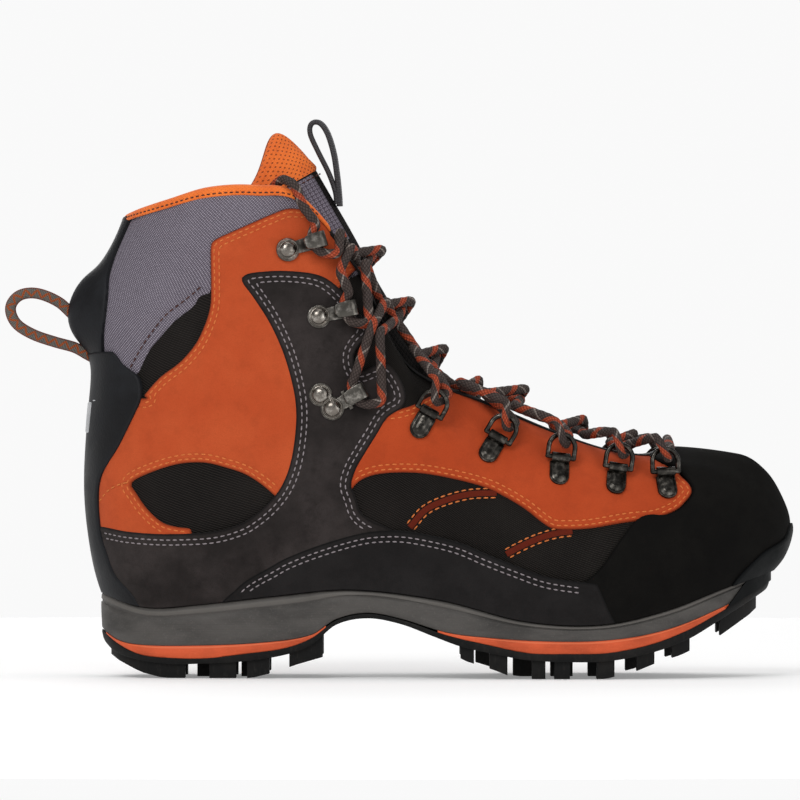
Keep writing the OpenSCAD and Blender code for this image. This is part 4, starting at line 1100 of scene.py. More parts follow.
# ---- bindings, seams and pull loops ----
LOWER_SEAM = [[-133, 79], [-129, 84], [-124, 87], [-120, 88]]
COLLAR_SEAM = [[-87, 176], [-94, 170], [-103, 163], [-110, 154], [-114, 148], [-119, 139]]
PIPED_SEAMS = [[[6.3, 68], [13, 75.6], [22, 80], [33, 82.8], [45, 83.3]],
               [[49.5, 56], [56, 59.5], [64, 63], [72, 65.3], [79, 66.2]]]
COLLAR_SECTION = [(2.1, -2.2), (2.7, -1.9), (2.9, -1.0), (2.7, 0.3), (2.0, 1.5), (0.6, 2.5), (-1.4, 3.0),
                  (-3.6, 2.8), (-5.5, 1.8), (-6.8, 0.1), (-7.2, -2.4), (-6.9, -4.6), (-6.0, -4.6),
                  (-6.2, -2.4), (-5.8, -0.4), (-4.7, 1.0), (-3.2, 1.8), (-1.4, 2.1), (0.1, 1.6),
                  (1.3, 0.7), (2.0, -0.5)]
THROAT_SECTION = [(1.5, -3.6), (2.1, -3.4), (2.3, -2.0), (2.0, -0.4), (1.0, 0.8), (-0.8, 1.3), (-3.4, 1.2),
                  (-5.2, 0.4), (-6.1, -1.2), (-6.2, -3.4), (-5.6, -3.4), (-5.3, -1.4), (-4.4, -0.3),
                  (-0.8, 0.1), (0.6, -0.3), (1.3, -1.4)]
COLLAR_END, THROAT_END = 5.5, 11.3


def edge_point(u, d, rise):
    """Point at the top edge of the upper: d outwards and rise along the surface."""
    top = skin_base(u, np.ones_like(u))
    up = unit(top - skin_base(u, np.full_like(u, 0.97)))
    return top + d * skin_normal(u, np.full_like(u, 0.98)) + rise * up


def edge_band(name, spans, section, material, slot, *nodes):
    """A tape wrapped over the top edge."""
    parts, cloth = [], []
    for u0, u1, count in spans:
        u = np.linspace(u0, u1, count)
        sections = np.stack([edge_point(u, d, rise) for d, rise in section], 1)
        parts.append(loft(sections))
        across = lengths_along(section)
        arc = np.repeat(lengths_along(sections[:, 3]), len(section))
        cloth.append(np.stack([arc, np.tile(across, count), np.full(len(arc), -3.0)], -1))
    obj = mesh_object(name, *merged(parts), MATERIALS[material], 60, np.vstack(cloth))
    return place_piece(obj, "boot", slot, *nodes)


def make_bindings():
    binding = edge_band("collar_tape", [(-COLLAR_END, COLLAR_END, 301)], COLLAR_SECTION, "tape",
                        "binding_tape", "collar_binding")
    edge_band("throat_tape", [(-THROAT_END, -COLLAR_END, 201), (COLLAR_END, THROAT_END, 201)],
              THROAT_SECTION, "trim", "black_textile")
    u = np.linspace(-COLLAR_END + 0.2, COLLAR_END - 0.2, 400)
    normals = skin_normal(u, np.full_like(u, 0.98))
    rows = [(edge_point(u, 2.9, -0.9), normals)]
    place_piece(stitches("tape_stitches", rows, MATERIALS["thread_dark"], 0.28, 2.6, 1.8), "boot",
                "binding_tape")
    tapes, runs = [], []
    for line in PIPED_SEAMS:
        for side in (LATERAL, MEDIAL):
            points, normals, _, _ = side_line(line, 0.2, side)
            tapes.append(ribbon(points, normals, 1.35, 0.55))
            across = unit(np.cross(normals, unit(np.gradient(points, axis=0))))
            runs += [(points + 2.1 * way * across + 0.05 * normals, normals) for way in (-1, 1)]
    place_piece(mesh_object("piped_seams", *merged(tapes), MATERIALS["piping"]), "boot", "orange_nubuck")
    place_piece(stitches("seam_stitches", runs, MATERIALS["thread_orange"]), "boot", "orange_nubuck")


HEEL_LOOP = [[-137, 164.5], [-144, 162], [-153, 169.5], [-163, 173.5], [-171, 172.5], [-175, 167],
             [-172.5, 160], [-165, 155], [-155, 151.5], [-146, 149], [-140.5, 146], [-135, 143]]
TONGUE_LOOP = [[-27, 214], [-27.5, 219.5], [-30.5, 228], [-35.5, 238], [-39, 246], [-38.3, 250.6],
               [-34.5, 250.8], [-31, 246], [-28.2, 237], [-26.8, 228], [-25.8, 218.5], [-25.5, 213]]


def pull_loop(name, route, a, b, start, material, node):
    """Webbing bent into a loop."""
    on_tongue = name == "tongue_pull_tape"
    line = smooth_open([[x, float(centre_y(x)) if on_tongue else 0.0, z] for x, z in route])
    path = even_path(line, 0.6, 0.8)
    sides = 28
    turn = 2 * np.pi * np.arange(sides) / sides
    wide = a * np.cos(turn) if a > b else b * np.sin(turn)
    points, faces = loft(tube(path, a, b, sides, start, 0.7))
    cloth = tube_cloth(path, sides, wide, np.full(sides, -3.0))
    obj = mesh_object(name, points, faces, MATERIALS[material], 60, cloth)
    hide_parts(node)
    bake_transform(obj)


# ---- tongue ----
TONGUE = [[118, 92.5, 8, 2], [110, 94.5, 11, 3], [96, 98, 15, 6], [80, 103.5, 20, 10],
          [57, 113, 25, 14], [38, 123.5, 27, 17], [21, 136.5, 29, 21], [7, 154.5, 30, 27],
          [-7, 176.5, 30, 33], [-18, 197.5, 28, 37], [-28, 215, 26, 38], [-39, 234, 24, 37]]
TONGUE_TOP = len(TONGUE) - 1
TONGUE_THICK = 7.5
TONGUE_PITCH = 21                  # length of a station past the tongue's last row
FACE_END = 10.75                   # station where the face meets the lining rolled over the top
GREY_START, FRONT_BAND = 9.1, 0.2  # where the grey cloth starts, and the half width of the front band


def tongue_row(t):
    p = np.asarray(TONGUE, float)
    p = np.vstack([p[:1], p, 2 * p[-1] - p[-2]])
    i = np.clip(np.floor(t).astype(int), 0, TONGUE_TOP - 1)
    return spline(p[i], p[i + 1], p[i + 2], p[i + 3], (t - i)[..., None])


def tongue_base(t, v):
    t, v = np.broadcast_arrays(np.asarray(t, float), np.asarray(v, float))
    past = np.maximum(t - TONGUE_TOP, 0)
    t = t - past
    r = tongue_row(t)
    step = tongue_row(np.minimum(t + 0.1, TONGUE_TOP)) - tongue_row(np.maximum(t - 0.1, 0))
    up = unit(np.stack([step[..., 0], np.zeros_like(t), step[..., 1]], -1))
    out = np.stack([up[..., 2], np.zeros_like(t), -up[..., 0]], -1)
    p = np.stack([r[..., 0], centre_y(r[..., 0]) + v * r[..., 2], r[..., 1]], -1)
    return p - out * (r[..., 3] * np.abs(v) ** 1.7)[..., None] + up * (TONGUE_PITCH * past)[..., None]


def tongue_point(t, v, d):
    """Point of the tongue at station t and place v across it, at depth d behind its face."""
    t, v, d = np.broadcast_arrays(np.asarray(t, float), np.asarray(v, float), np.asarray(d, float))
    e = 0.03
    n = unit(np.cross(tongue_base(t, v + e) - tongue_base(t, v - e),
                      tongue_base(t + e, v) - tongue_base(np.maximum(t - e, 0), v)))
    away = np.sign(np.sum(n * [-1, 0, -1], -1))
    return tongue_base(t, v) - (d * away)[..., None] * n


def tongue_crown(v):
    """Station of the tongue's arched top at place v across it."""
    off = np.abs(v) - 0.34
    return TONGUE_TOP - 0.08 + 0.95 * np.exp(-(off / np.where(off < 0, 0.26, 0.42)) ** 2)


def tongue_sheet(name, t, v, outer, inner, material, slot, *nodes):
    """A sheet of the tongue from grids of stations and depths."""
    t, v, outer, inner = np.broadcast_arrays(t, v, outer, inner)
    grids = tongue_point(t, v, outer), tongue_point(t, v, inner)
    points, faces = shell(*t.shape, *grids)
    arc = np.cumsum(np.linalg.norm(np.diff(grids[0], axis=0, prepend=grids[0][:1]), axis=-1), axis=0)
    cloth = np.stack([np.broadcast_to(v * 30, t.shape), arc, np.full(t.shape, -3.0)], -1).reshape(-1, 3)
    obj = mesh_object(name, points, faces, MATERIALS[material], 60, np.vstack([cloth, cloth]))
    return place_piece(obj, "tongue", slot, *nodes)


def make_tongue():
    across = np.linspace(-1, 1, 81)[None]
    stations = np.linspace(0, FACE_END, 150)[:, None]
    soft = 0.35 * np.sin(stations * 2.2 + across * 5) * np.sin(across * 7)
    tongue_sheet("tongue_face_cloth", stations, across, soft, -1.0, "tongue_black", "tongue_cloth",
                 "tongue_face")
    for side in (LATERAL, MEDIAL):
        part = side * np.linspace(FRONT_BAND, 0.97, 34)[None]
        rows = np.linspace(GREY_START, FACE_END - 0.03, 40)[:, None]
        edge = 1.0 * np.clip(np.minimum(rows - GREY_START, FACE_END - rows) / 0.12, 0, 1)
        edge = edge * np.clip((np.abs(part) - FRONT_BAND) / 0.06, 0, 1)
        tongue_sheet(f"tongue_grey_{'lateral' if side == LATERAL else 'medial'}", rows, part,
                     edge + 0.05, -0.4, "tongue", "grey_fabric")
    roll = TONGUE_THICK / 2
    crown = tongue_crown(across)
    turn = np.linspace(0, np.pi, 17)[:, None]
    over = np.linspace(0, 1, 24)[:-1, None]
    inside_rows = np.linspace(1, 0, 90)[1:, None]
    bend = roll / TONGUE_PITCH
    front = FACE_END + (crown - FACE_END - bend) * over
    t = np.vstack([front, crown - bend + bend * np.sin(turn), (crown - bend) * inside_rows])
    puff = 0.9 * np.sin(np.pi * np.clip(over * 1.1, 0, 1))
    wrap = np.sqrt(1 - 0.98 * np.clip((np.abs(across) - 0.86) / 0.14, 0, 1) ** 2)
    even = np.ones_like(inside_rows)
    outer = np.vstack([puff * np.ones_like(across), -roll * (1 - np.cos(turn)) * wrap,
                       -TONGUE_THICK * even * wrap])
    inner = np.vstack([puff - 0.8 * np.ones_like(across), (0.8 - roll) * (1 - np.cos(turn)) * wrap - 0.8,
                       (0.8 - TONGUE_THICK) * even * wrap])
    lining = tongue_sheet("tongue_lining_knit", t, across, outer, inner, "binding", "tongue_cloth",
                          "tongue_lining")
    core = tongue_sheet("tongue_padding", np.linspace(0, 1, 90)[:, None] * (crown - 0.25), 0.88 * across,
                        -1.2, -TONGUE_THICK + 1.0, "foam", "padding_foam", "tongue_foam")
    v = np.linspace(-0.96, 0.96, 300)
    at = np.full_like(v, FACE_END - 0.1)
    n = unit(tongue_point(at, v, 1.0) - tongue_point(at, v, 0.0))
    row = (tongue_point(at, v, 0.9), n)
    seam = stitches("tongue_stitches", [row], MATERIALS["thread_dark"])
    place_piece(seam, "tongue", "tongue_cloth")


# ---- sole ----
MIDSOLE_BOTTOM = [[-136, 24], [-126, 17], [-115, 14.8], [-90, 14.6], [-60, 16], [-38, 19.5],
                  [-27, 26.6], [-13, 29.5], [2, 27], [23, 20.7], [41, 18.5], [65, 17], [89, 17],
                  [108, 19], [126, 23.4], [145, 31], [160, 38], [174, 46]]
INSERT_BOTTOM = [[-136, 23.6], [-126, 15.5], [-115, 10.4], [-100, 9], [-85, 9], [-69, 10.8],
                 [-50, 13.5], [-38, 18], [-27, 26], [-13, 29], [2, 26.5], [23, 19.5], [41, 15.3],
                 [59, 11.7], [77, 11.3], [95, 11.7], [114, 15.3], [131, 21.6], [145, 29],
                 [160, 37.5], [174, 45.5]]
TREAD_BASE = [[-136, 20], [-126, 11], [-105, 6.5], [-87, 6.5], [-69, 7.5], [-50, 10.5], [-38, 15],
              [-27, 24], [-13, 27], [2, 24.5], [17, 18.9], [29, 14.5], [41, 11.8], [59, 8.5],
              [77, 7.6], [95, 8], [114, 11.5], [131, 17.5], [145, 25.5], [160, 34.5], [174, 43]]
LUG_BOTTOM = np.array([[-136, 18], [-128, 9], [-115, 2.5], [-105, 0], [-65, 0], [-55, 2.5], [-45, 6],
                       [-33, 9.5], [22, 13], [31, 8], [44, 4], [54, 0], [94, 0], [108, 3.5], [118, 7.5],
                       [128, 10.5], [146, 19], [161, 29], [174, 42]])
SIDE_LUGS = [[-129, -95], [-84, -72], [-67, -57], [-48, -33], [29, 35], [42, 50], [61, 67], [71, 78],
             [90, 98], [108, 116], [124, 132], [146, 163]]
MID_LUGS = [[-90, -78], [-70, -60], [36, 46], [53, 63], [70, 80], [87, 97], [104, 114], [122, 132]]
SIDE_LUG_WIDTH, MID_LUG_HALF = 17, 9
SOLE_K = np.linspace(0.02, LAST_U - 0.02, 260)


def plan_point(k, grow):
    """Plan outline of the sole edge at station k, moved outwards by grow."""
    step = unit(rail_point(FOOT_RAIL, k + 0.02) - rail_point(FOOT_RAIL, k - 0.02))
    outward = np.stack([-step[..., 1], step[..., 0]], -1)
    return rail_point(FOOT_RAIL, k) + np.asarray(grow)[..., None] * outward


def sole_slab(stations, levels):
    """Sections of a slab of the sole; a level is (height at x, how far it stands out)."""
    sides = []
    for height, grow in levels:
        p = plan_point(stations, grow)
        x, y = p[:, 0], np.maximum(p[:, 1], 0.15)
        sides.append([np.stack([x, centre_y(x) + side * y, height(x)], -1) for side in (MEDIAL, LATERAL)])
    medial = [pair[0] for pair in sides]
    lateral = [pair[1] for pair in sides[::-1]]
    return np.stack(medial + lateral, 1)


def between(low, high, share):
    return lambda x: profile(low, x) * (1 - share) + high(x) * share


def slab_piece(name, stations, low, high, shape, material, slot, node):
    """A slab between two heights, whose side follows (share of the height, stand-out) pairs."""
    sections = sole_slab(stations, [(between(low, high, share), grow) for share, grow in shape])
    shares = [share for share, _ in shape]
    arc = np.repeat(lengths_along(sections[:, 0]), 2 * len(shape))
    cloth = np.stack([arc, sections[..., 2].ravel(), np.tile(shares + shares[::-1], len(stations))], -1)
    obj = mesh_object(name, *loft(sections), MATERIALS[material], 60, cloth)
    return place_piece(obj, "boot", slot, node)


def stations_between(x0, x1):
    x = rail_point(FOOT_RAIL, SOLE_K)[:, 0]
    return SOLE_K[(x > x0) & (x < x1)]


def lug(x0, x1, y_low, y_high):
    """A tread lug; its sides lie at the distances y_low(x) and y_high(x) from the centre line."""
    x = np.linspace(x0, x1, int((x1 - x0) / 4) + 2)
    cy, z0 = centre_y(x), np.interp(x, LUG_BOTTOM[:, 0], LUG_BOTTOM[:, 1])
    z1 = profile(TREAD_BASE, x) + 0.8
    hi, lo = cy + y_high(x), cy + y_low(x)
    corners = [(hi - 0.8, z0), (hi, z1), (lo, z1), (lo + 0.8, z0)]
    return loft(np.stack([np.stack([x, y, z], -1) for y, z in corners], 1))


def sole_half_width(x):
    return profile(FOOT_RAIL, x) - 0.2


def make_outsole():
    tread = lambda x: profile(TREAD_BASE, x)
    base = sole_slab(SOLE_K, [(tread, 1.2), (lambda x: tread(x) + 0.6, 1.8),
                              (between(INSERT_BOTTOM, tread, 0.3), 2.4),
                              (lambda x: profile(INSERT_BOTTOM, x), 2.3)])
    lugs = []
    outer = sole_half_width
    inner = lambda x: np.maximum(outer(x) - SIDE_LUG_WIDTH, 1.5)
    for x0, x1 in SIDE_LUGS:
        lugs += [lug(x0, x1, inner, outer), lug(x0, x1, lambda x: -outer(x), lambda x: -inner(x))]
    for x0, x1 in MID_LUGS:
        lugs.append(lug(x0, x1, lambda x: 0 * x - MID_LUG_HALF, lambda x: 0 * x + MID_LUG_HALF))
    obj = mesh_object("rubber_outsole", *merged([loft(base)] + lugs), MATERIALS["outsole"], 35, bevel=0.7)
    place_piece(obj, "boot", "sole_rubber", "outsole")


def toe_wrap():
    """Rubber wrapped up over the front of the midsole."""
    shares = np.linspace(0.0, 1.0, 14)[:, None]
    way = np.linspace(-1, 1, 121)[None]
    k = LAST_U - (LAST_U - 10.05 - 0.6 * shares) * np.abs(way)
    grids = []
    for grow in (3.4, 2.0):
        round_off = 1.2 * np.exp(-((shares - 1.0) / 0.12) ** 2) * (grow > 3)
        p = plan_point(k, np.broadcast_to(grow - round_off, k.shape))
        x = p[..., 0]
        z = profile(INSERT_BOTTOM, x) * (1 - shares) + (foot_z(x) + 0.6) * shares
        grids.append(np.stack([x, centre_y(x) + np.sign(way) * p[..., 1], z], -1))
    return shell(14, 121, *grids)


def make_sole():
    make_outsole()
    top = lambda x: foot_z(x) - 0.3
    slab_piece("foam_midsole", SOLE_K, MIDSOLE_BOTTOM, top,
               [(0, 1.9), (0.03, 2.4), (0.2, 2.55), (0.4, 2.7), (0.6, 2.8), (0.70, 2.75), (0.73, 2.2),
                (0.78, 2.2), (0.81, 2.7), (0.92, 2.5), (1.0, 1.4)], "midsole", "midsole_foam", "midsole")
    side = [(0, 2.0), (0.15, 2.45), (0.85, 2.45), (1, 2.1)]
    for name, x0, x1 in (("heel_insert", -129, -30), ("forefoot_insert", 18, 152)):
        slab_piece(f"orange_{name}", stations_between(x0, x1), INSERT_BOTTOM,
                   lambda x: profile(MIDSOLE_BOTTOM, x), side, "insert", "insert_foam", name)
    k = SOLE_K[4:-4]
    layers = [("fibre_board_layer", 0.2, 2.2, -6.1, "fibre", "fibre_board", "lasting_board"),
              ("felt_footbed", 3.9, 7.5, -7.3, "felt", "footbed_felt", "footbed")]
    for name, z0, z1, inset, material, slot, node in layers:
        levels = [(lambda x, z=z: foot_z(x) + z, grow) for z, grow in
                  ((z0, inset), (z1 - 0.6, inset), (z1, inset - 0.8))]
        obj = mesh_object(name, *loft(sole_slab(k, levels)), MATERIALS[material])
        place_piece(obj, "boot", slot, node)
    x = np.linspace(-70, 60, 60)
    cy, z0 = centre_y(x), foot_z(x) + 2.4
    corners = [(9, 0), (9, 1.2), (4, 1.2), (3, 1.5), (-3, 1.5), (-4, 1.2), (-9, 1.2), (-9, 0)]
    sections = np.stack([np.stack([x, cy + y, z0 + z], -1) for y, z in corners], 1)
    obj = mesh_object("steel_shank", *loft(sections), MATERIALS["steel"], 30, bevel=0.2)
    place_piece(obj, "boot", "spring_steel", "shank")
    place_piece(mesh_object("toe_wrap_rubber", *toe_wrap(), MATERIALS["bumper"]), "boot", "bumper_rubber")


# ---- hardware ----
RINGS = [[6.2, 0.57, 0.28, 0.10], [7.3, 0.68, 0.34, 0.10], [8.1, 0.66, 0.22, 0.11],
         [8.75, 0.65, 0.17, 0.09], [9.4, 0.62, 0.11, 0.07]]
TOP_HOOK = [4.6, 0.865, 0.47, 0.04]
ANKLE_HOOK = [5.0, 0.725, 0.40, 0.05]
LOCK_HOOK = [5.0, 0.50, 0.37, 0.06]
PANEL_FACE = 1.3
BAR_Y, BAR_Z = 7.0, 2.9
SEAT, SHEET = 0.25, 1.2
HOOK_GAP, HOOK_TIP, HOOK_LIP, HOOK_WIDTH = 5.9, 17.4, 10.5, 7.0
LOCK_RIVET = (8, -1.5)
PLATE_RADIUS = 5.3


def firm_skin(u, s, d):
    """Point on the upper without its unevenness."""
    return skin_base(u, s) + d * skin_normal(u, s)


def site_frame(site, side):
    """Origin and axes of a site: along the edge, towards the lace, and outwards."""
    u, s, du, ds = site
    u = side * u
    o, n = firm_skin(u, s, PANEL_FACE), skin_normal(u, s)
    q = firm_skin(u + side * du, s + ds, PANEL_FACE) - o
    e2 = unit(q - (q @ n) * n)
    return o, np.array([np.cross(e2, n), e2, n])


def in_frame(frame_axes, points):
    origin, axes = frame_axes
    return origin + np.asarray(points, float) @ axes


def ring_tab():
    """Domed tab folded round the D-ring's bar."""
    loops = []
    turn = np.linspace(math.pi, 2 * math.pi, 25)
    for inset, z in [(0, 0.1), (0, 1.0), (0.25, 1.35), (0.8, 1.4), (1.05, 1.1), (1.4, 1.2), (2.2, 1.9),
                     (3.2, 2.25), (4.1, 2.35)]:
        r = 4.5 - inset
        arc = np.stack([r * np.cos(turn), -1.3 + r * np.sin(turn)], -1)
        sides = np.linspace(-1.3, 5.5 - 0.12 * inset, 10)[1:]
        right = np.stack([np.full(9, r), sides], -1)
        outline = np.vstack([arc, right, (right * [-1, 1])[::-1]])
        loops.append(np.column_stack([outline, np.full(len(outline), z)]))
    tab = loft(np.array(loops))
    bore, wall = 1.2, 2.15
    barrel, faces = lathe([(bore, -4.3), (wall - 0.3, -4.3), (wall, -4.0), (wall, 4.0), (wall - 0.3, 4.3),
                           (bore, 4.3), (bore, -4.3)], 32, axis=0)
    faces = [f for f in faces if len(f) == 4]
    return merged([tab, (barrel + [0, BAR_Y, BAR_Z], faces)])


def bent_sheet(path, half_widths, thickness):
    """A strip of sheet metal bent along [y, z] points."""
    p = np.asarray(path, float)
    along = unit(np.gradient(p, axis=0))
    normal = np.stack([-along[:, 1], along[:, 0]], -1) * thickness / 2
    rows = []
    for side, face in ((1, 1), (1, -1), (-1, -1), (-1, 1)):
        yz = p + face * normal
        rows.append(np.column_stack([side * np.asarray(half_widths), yz]))
    return loft(np.stack(rows, 1))


def arc_points(centre, radius, first, last, count=9):
    turn = np.radians(np.linspace(first, last, count))
    return np.stack([centre[0] + radius * np.cos(turn), centre[1] + radius * np.sin(turn)], -1)


def hook_sheet():
    """Open hook: a plate that curls back over the lace."""
    r = 3 - SHEET / 2
    y = HOOK_TIP - 3
    top = HOOK_GAP + 2 * SHEET
    path = np.vstack([[[0, SHEET / 2], [4, SHEET / 2], [8, SHEET / 2]], arc_points((y, 3), r, -90, 0),
                      arc_points((y, top - 3), r, 0, 90),
                      [[12, top - SHEET / 2], [9.5, top - SHEET / 2], [7.6, top - SHEET / 2 + 0.15],
                       [HOOK_TIP - HOOK_LIP, top - SHEET / 2 + 0.45]]]) + [0, SEAT]
    half = np.full(len(path), HOOK_WIDTH / 2)
    half[:3] = [3.2, 2.9, 3.1]
    half[-4:] = [3.5, 3.3, 2.7, 1.5]
    return bent_sheet(path, half, SHEET)


def plate_disc(x=0.0, y=0.0):
    r = PLATE_RADIUS
    points, faces = lathe([(r - 0.2, SEAT - 0.2), (r, SEAT + 0.2), (r, SEAT + 0.9),
                           (r - 0.35, SEAT + SHEET)])
    return points + [x, y, 0], faces


def rivet_head(x=0.0, y=0.0):
    """Rivet with a raised rim and a domed centre."""
    base = SEAT + SHEET
    points, faces = lathe([(4.8, base - 0.3), (4.85, base + 0.25), (4.6, base + 0.6), (4.2, base + 0.6),
                           (3.95, base + 0.25), (3.75, base + 0.3), (3.5, base + 0.9), (2.9, base + 1.5),
                           (2.0, base + 1.95), (1.0, base + 2.15), (0.05, base + 2.2)])
    return points + [x, y, 0], faces


def lock_plate(side):
    """Figure-eight plate with a guide in front of the hook."""
    x, y = LOCK_RIVET[0] * side, LOCK_RIVET[1]
    bar = np.array([[0, -3.0], [0, 3.0], [x, y + 3.0], [x, y - 3.0]])
    plate = np.stack([np.column_stack([bar, np.full(4, z)]) for z in (SEAT, SEAT + SHEET)])
    w = HOOK_WIDTH / 2 + 1
    box = np.array([[-w, 6.8], [w, 6.8], [w, 8.4], [-w, 8.4]])
    guide = np.stack([np.column_stack([box, np.full(4, z)]) for z in (SEAT, SEAT + SHEET + 1.4)])
    return [plate_disc(), plate_disc(x, y), loft(plate), loft(guide), hook_sheet()]


def placed(site, parts):
    """Parts set at a site on both sides. parts is a list, or a function of the side."""
    result = []
    for side in (LATERAL, MEDIAL):
        axes = site_frame(site, side)
        for points, faces in (parts(side) if callable(parts) else parts):
            result.append((in_frame(axes, points), faces))
    return result


def make_hardware():
    tabs = [part for site in RINGS for part in placed(site, [ring_tab()])]
    rivets = placed(TOP_HOOK, [rivet_head()]) + placed(ANKLE_HOOK, [rivet_head()])
    rivets += placed(LOCK_HOOK, lambda side: [rivet_head(),
                                              rivet_head(LOCK_RIVET[0] * side, LOCK_RIVET[1])])
    open_hook = [plate_disc(), hook_sheet()]
    for name, parts, material, slot, node in [
            ("ring_tabs", tabs, "black_nickel", "black_nickel", "ring_clips"),
            ("top_hook_sheets", placed(TOP_HOOK, open_hook), "nickel", "aged_nickel", "top_hooks"),
            ("ankle_hook_sheets", placed(ANKLE_HOOK, open_hook), "nickel", "aged_nickel", "ankle_hooks"),
            ("lock_hook_sheets", placed(LOCK_HOOK, lock_plate), "nickel", "aged_nickel", "lock_hooks"),
            ("rivet_heads", rivets, "rivet", "rivet_metal", "hook_rivets")]:
        obj = mesh_object(name, *merged(parts), MATERIALS[material], 35,
                          bevel=0.0 if node in ("ring_clips", "hook_rivets") else 0.22)
        place_piece(obj, "boot", slot, node)


# ---- lace ----
LACE_RADIUS = 2.3
RING_ARM, RING_BOW, RING_RISE = 4.4, 6.0, math.radians(28)
LACE_TURN = 5.0
LACE_STEP, LACE_BLUR = 0.9, 1.5    # length between sections, and how far corners are rounded
BRAID_PITCH, BRAID_RELIEF = 2.2, 0.16
LACE_SLIM = 0.12                   # the braid's mean surface lies this far inside the lace's radius
PINCH, PINCH_REACH, PINCH_FADE = 0.4, 2, 3
TIP_LENGTH, TIP_ROWS = 16, 60
LOW_LACE = LACE_RADIUS + 1.7
HIGH_LACE = LOW_LACE + 2 * LACE_RADIUS + 0.4
OVER_PANEL = PANEL_FACE + LACE_RADIUS + 1.7
SITES = [RINGS[4], RINGS[3], RINGS[2], RINGS[1], RINGS[0], LOCK_HOOK, ANKLE_HOOK, TOP_HOOK]
CROSSINGS = [1.3, 2.9, 4.1, 5.3, 6.4, 7.5, 8.6]
NARROW = 3
LEAVES = [9.75, 9.05, 8.3, 7.7, 6.95, 6.4, 5.8]
MEETS = [9.45, 8.75, 8.0, 7.4, 6.6, 6.0, 5.6]
EDGE_LIFT = [0, 0, 0, 1.8, 3.5, 2.2, 1.5]
HOOK_LIFT = [6.4, 2.2]
HOOK_STOP = (8.5, 21, 4.2)


def over_edge(u, d, rise):
    up = unit(skin_base(u, 1.0) - skin_base(u, 0.98))
    return firm_skin(u, 1.0, d) + rise * up


def ring_pass(site, side):
    """The lace comes under a D-ring's round end, up through it and back over it."""
    axes = site_frame(site, side)
    toe = 1 if axes[1][0, 0] > 0 else -1
    reach = RING_ARM + RING_BOW
    y0, z0 = BAR_Y + reach * math.cos(RING_RISE), BAR_Z + reach * math.sin(RING_RISE)
    turns = [(4.2, 4, -108), (2.4, 0, -125), (0.8, 0, -165), (-0.8, 0, 150), (-2.4, 0, 110), (-4.2, 3, 85)]
    return [in_frame(axes, [x * toe, y0 + dy + LACE_TURN * math.cos(math.radians(a)),
                            z0 + LACE_TURN * math.sin(math.radians(a))]) for x, dy, a in turns]


def hook_pass(i, side):
    """Round a hook's neck, inside its lip, and clear of the panel on the way there and back."""
    site = SITES[i]
    axes = site_frame(site, side)
    toe = 1 if axes[1][0, 0] > 0 else -1
    z = SEAT + SHEET + HOOK_GAP / 2
    turn = [in_frame(axes, [x * toe, y, z]) for x, y in
            ((7, 15.5), (4.6, 12.2), (0, 11.4), (-4.6, 12.2), (-7, 15.5))]
    beside = lambda edge: firm_skin(side * (0.45 * site[0] + 0.55 * edge), 0.45 * site[1] + 0.55,
                                    OVER_PANEL + HOOK_LIFT[i - len(RINGS)])
    before = [beside(MEETS[i - 1])] if site is LOCK_HOOK else []
    after = [beside(LEAVES[i])] if i < len(LEAVES) else []
    return before + [in_frame(axes, np.multiply(HOOK_STOP, [toe, 1, 1]))] + turn + after


def crossing(i, side, high):
    """Over the tongue from one side to the other."""
    t, lift = CROSSINGS[i], OVER_PANEL + EDGE_LIFT[i]
    a, b = over_edge(side * LEAVES[i], lift, 0), over_edge(-side * MEETS[i], lift, 0)
    c = tongue_point(t, 0.0, HIGH_LACE if high else LOW_LACE)
    if i < NARROW:
        c[2] = max(c[2], (a[2] + b[2]) / 2 + (HIGH_LACE - LOW_LACE if high else 0))
        return [a, c, b]
    return [a, tongue_point(t - 0.2, side * 0.45, LOW_LACE + 1.2), c,
            tongue_point(t + 0.2, -side * 0.45, LOW_LACE + 1.2), b]


def tucked_end(side):
    """Over the collar's edge and down inside it."""
    over = [firm_skin(side * 4.95, 0.975, OVER_PANEL + 1), over_edge(side * 4.85, OVER_PANEL - 0.5, 4.2),
            over_edge(side * 4.7, -2, 6.8), over_edge(side * 4.55, -8.6, 4)]
    return over + [firm_skin(side * u, s, d) for u, s, d in
                   ((4.35, 0.95, -9.3), (4.1, 0.86, -9.6), (3.9, 0.77, -9.8), (3.75, 0.7, -9.8))]


def half_lace(start):
    stops = []
    for i, site in enumerate(SITES):
        side = start if i % 2 == 0 else -start
        stops += ring_pass(site, side) if i < len(RINGS) else hook_pass(i, side)
        if i < len(CROSSINGS):
            stops += crossing(i, side, (i % 2 == 0) == (start > 0))
    return stops + tucked_end(-start)


